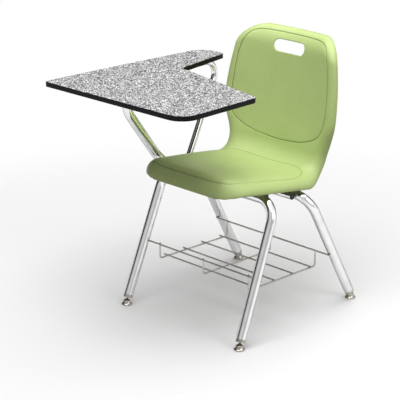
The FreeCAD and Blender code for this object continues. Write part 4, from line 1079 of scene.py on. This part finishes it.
turned = add(tree, "GeometryNodeRotateInstances", inputs={"Instances": set_on, "Rotation": stop})
end_tree(tree, turned, given["Material"])

# %% Screws
HOLE_EDGE = 10 * MM
RAIL_WEB = 2.5

plate_spots = []
for plate in ("tablet_plate", "arm_plate"):
    low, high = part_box(plate)
    plate_spots += [(x, y, low[2]) for x in (low[0] + HOLE_EDGE, high[0] - HOLE_EDGE)
                    for y in (low[1] + HOLE_EDGE, high[1] - HOLE_EDGE)]
seat_spots = placed([foot - SEAT_OUT * RAIL_WEB for foot in boss_feet])
# piece, seed points, the way its heads face, and head, height, shank and length in millimetres
for name, spots, way, sizes in (
        ("tablet_screws_cross", plate_spots, (0, 0, -1), (9.0, 3.0, 4.5, 15.0)),
        ("seat_screws_cross", seat_spots, -SEAT_OUT, (12.0, 4.0, 6.0, 11.5))):
    head, tall, shank, long = [value * MM for value in sizes]
    screws = grown(name, tree, spots, numbers={"facing": [tuple(way)] * len(spots)},
                   Head=head, Tall=tall, Shank=shank, Long=long, Seed=7, Material=zinc)
    screws.data.set_sharp_from_angle(angle=math.radians(30))
    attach(screws, "frame")
    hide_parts(name.replace("_cross", ""))

# %% [markdown]
# ## Welds of the rack
# Wherever two wires cross they are spot welded, and each rail is welded to two legs. A weld is a low
# bead that never looks quite like the next one, so the tree gives each its own size and turn.

# %% Tree of the welds
SMALLEST, LARGEST, TIP = 0.85, 1.15, 0.25

tree, given = new_tree("weld_beads", Size="Vector", Seed="Int", Material="Material")
bead = add(tree, "GeometryNodeMeshIcoSphere", inputs={"Radius": 1.0, "Subdivisions": 3})
bead = add(tree, "GeometryNodeSetShadeSmooth", inputs={0: bead})
vary = add(tree, "FunctionNodeRandomValue", {"data_type": "FLOAT"},
           {"Min": SMALLEST, "Max": LARGEST, "Seed": given["Seed"]})
stretch = add(tree, "ShaderNodeVectorMath", {"operation": "SCALE"},
              {0: given["Size"], "Scale": vary.outputs[1]})
tip = add(tree, "FunctionNodeRandomValue", {"data_type": "FLOAT_VECTOR"},
          {"Min": (-TIP, -TIP, -TIP), "Max": (TIP, TIP, TIP), "Seed": given["Seed"]})
tip = add(tree, "FunctionNodeEulerToRotation", inputs={0: tip})
spots = add(tree, "GeometryNodeMeshToPoints", inputs={0: given["Geometry"]})
set_on = add(tree, "GeometryNodeInstanceOnPoints",
             inputs={"Points": spots, "Instance": bead, "Rotation": tip, "Scale": stretch})
end_tree(tree, set_on, given["Material"])

# %% Welds
HALF_WIRE, LEG_WELD_IN = 2.5 * MM, 6 * MM
WELD_SIZE = (3.4 * MM, 2.3 * MM, 2.3 * MM)


def middle_of(name):
    """The middle of a node's box."""
    low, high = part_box(name)
    return [(low[i] + high[i]) / 2 for i in range(3)]


cross_x = [middle_of("rack_cross_" + side)[0] for side in ("left", "middle", "right")]
weld_spots = []
for rail, inward in (("rack_front_rail", 1), ("rack_rear_rail", -1)):
    low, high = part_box(rail)
    y, z = middle_of(rail)[1:]
    weld_spots += [(at, y + inward * HALF_WIRE, z) for at in cross_x]
    weld_spots += [(at, y - inward * HALF_WIRE, z) for at in (low[0] + LEG_WELD_IN, high[0] - LEG_WELD_IN)]
for k in range(1, 5):
    y, z = middle_of("rack_floor_%d" % k)[1:]
    weld_spots += [(at, y, z - HALF_WIRE) for at in cross_x]
welds = grown("rack_welds", tree, weld_spots, Size=WELD_SIZE, Seed=11, Material=wire_chrome)
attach(welds, "frame")
print("welds:", len(weld_spots))
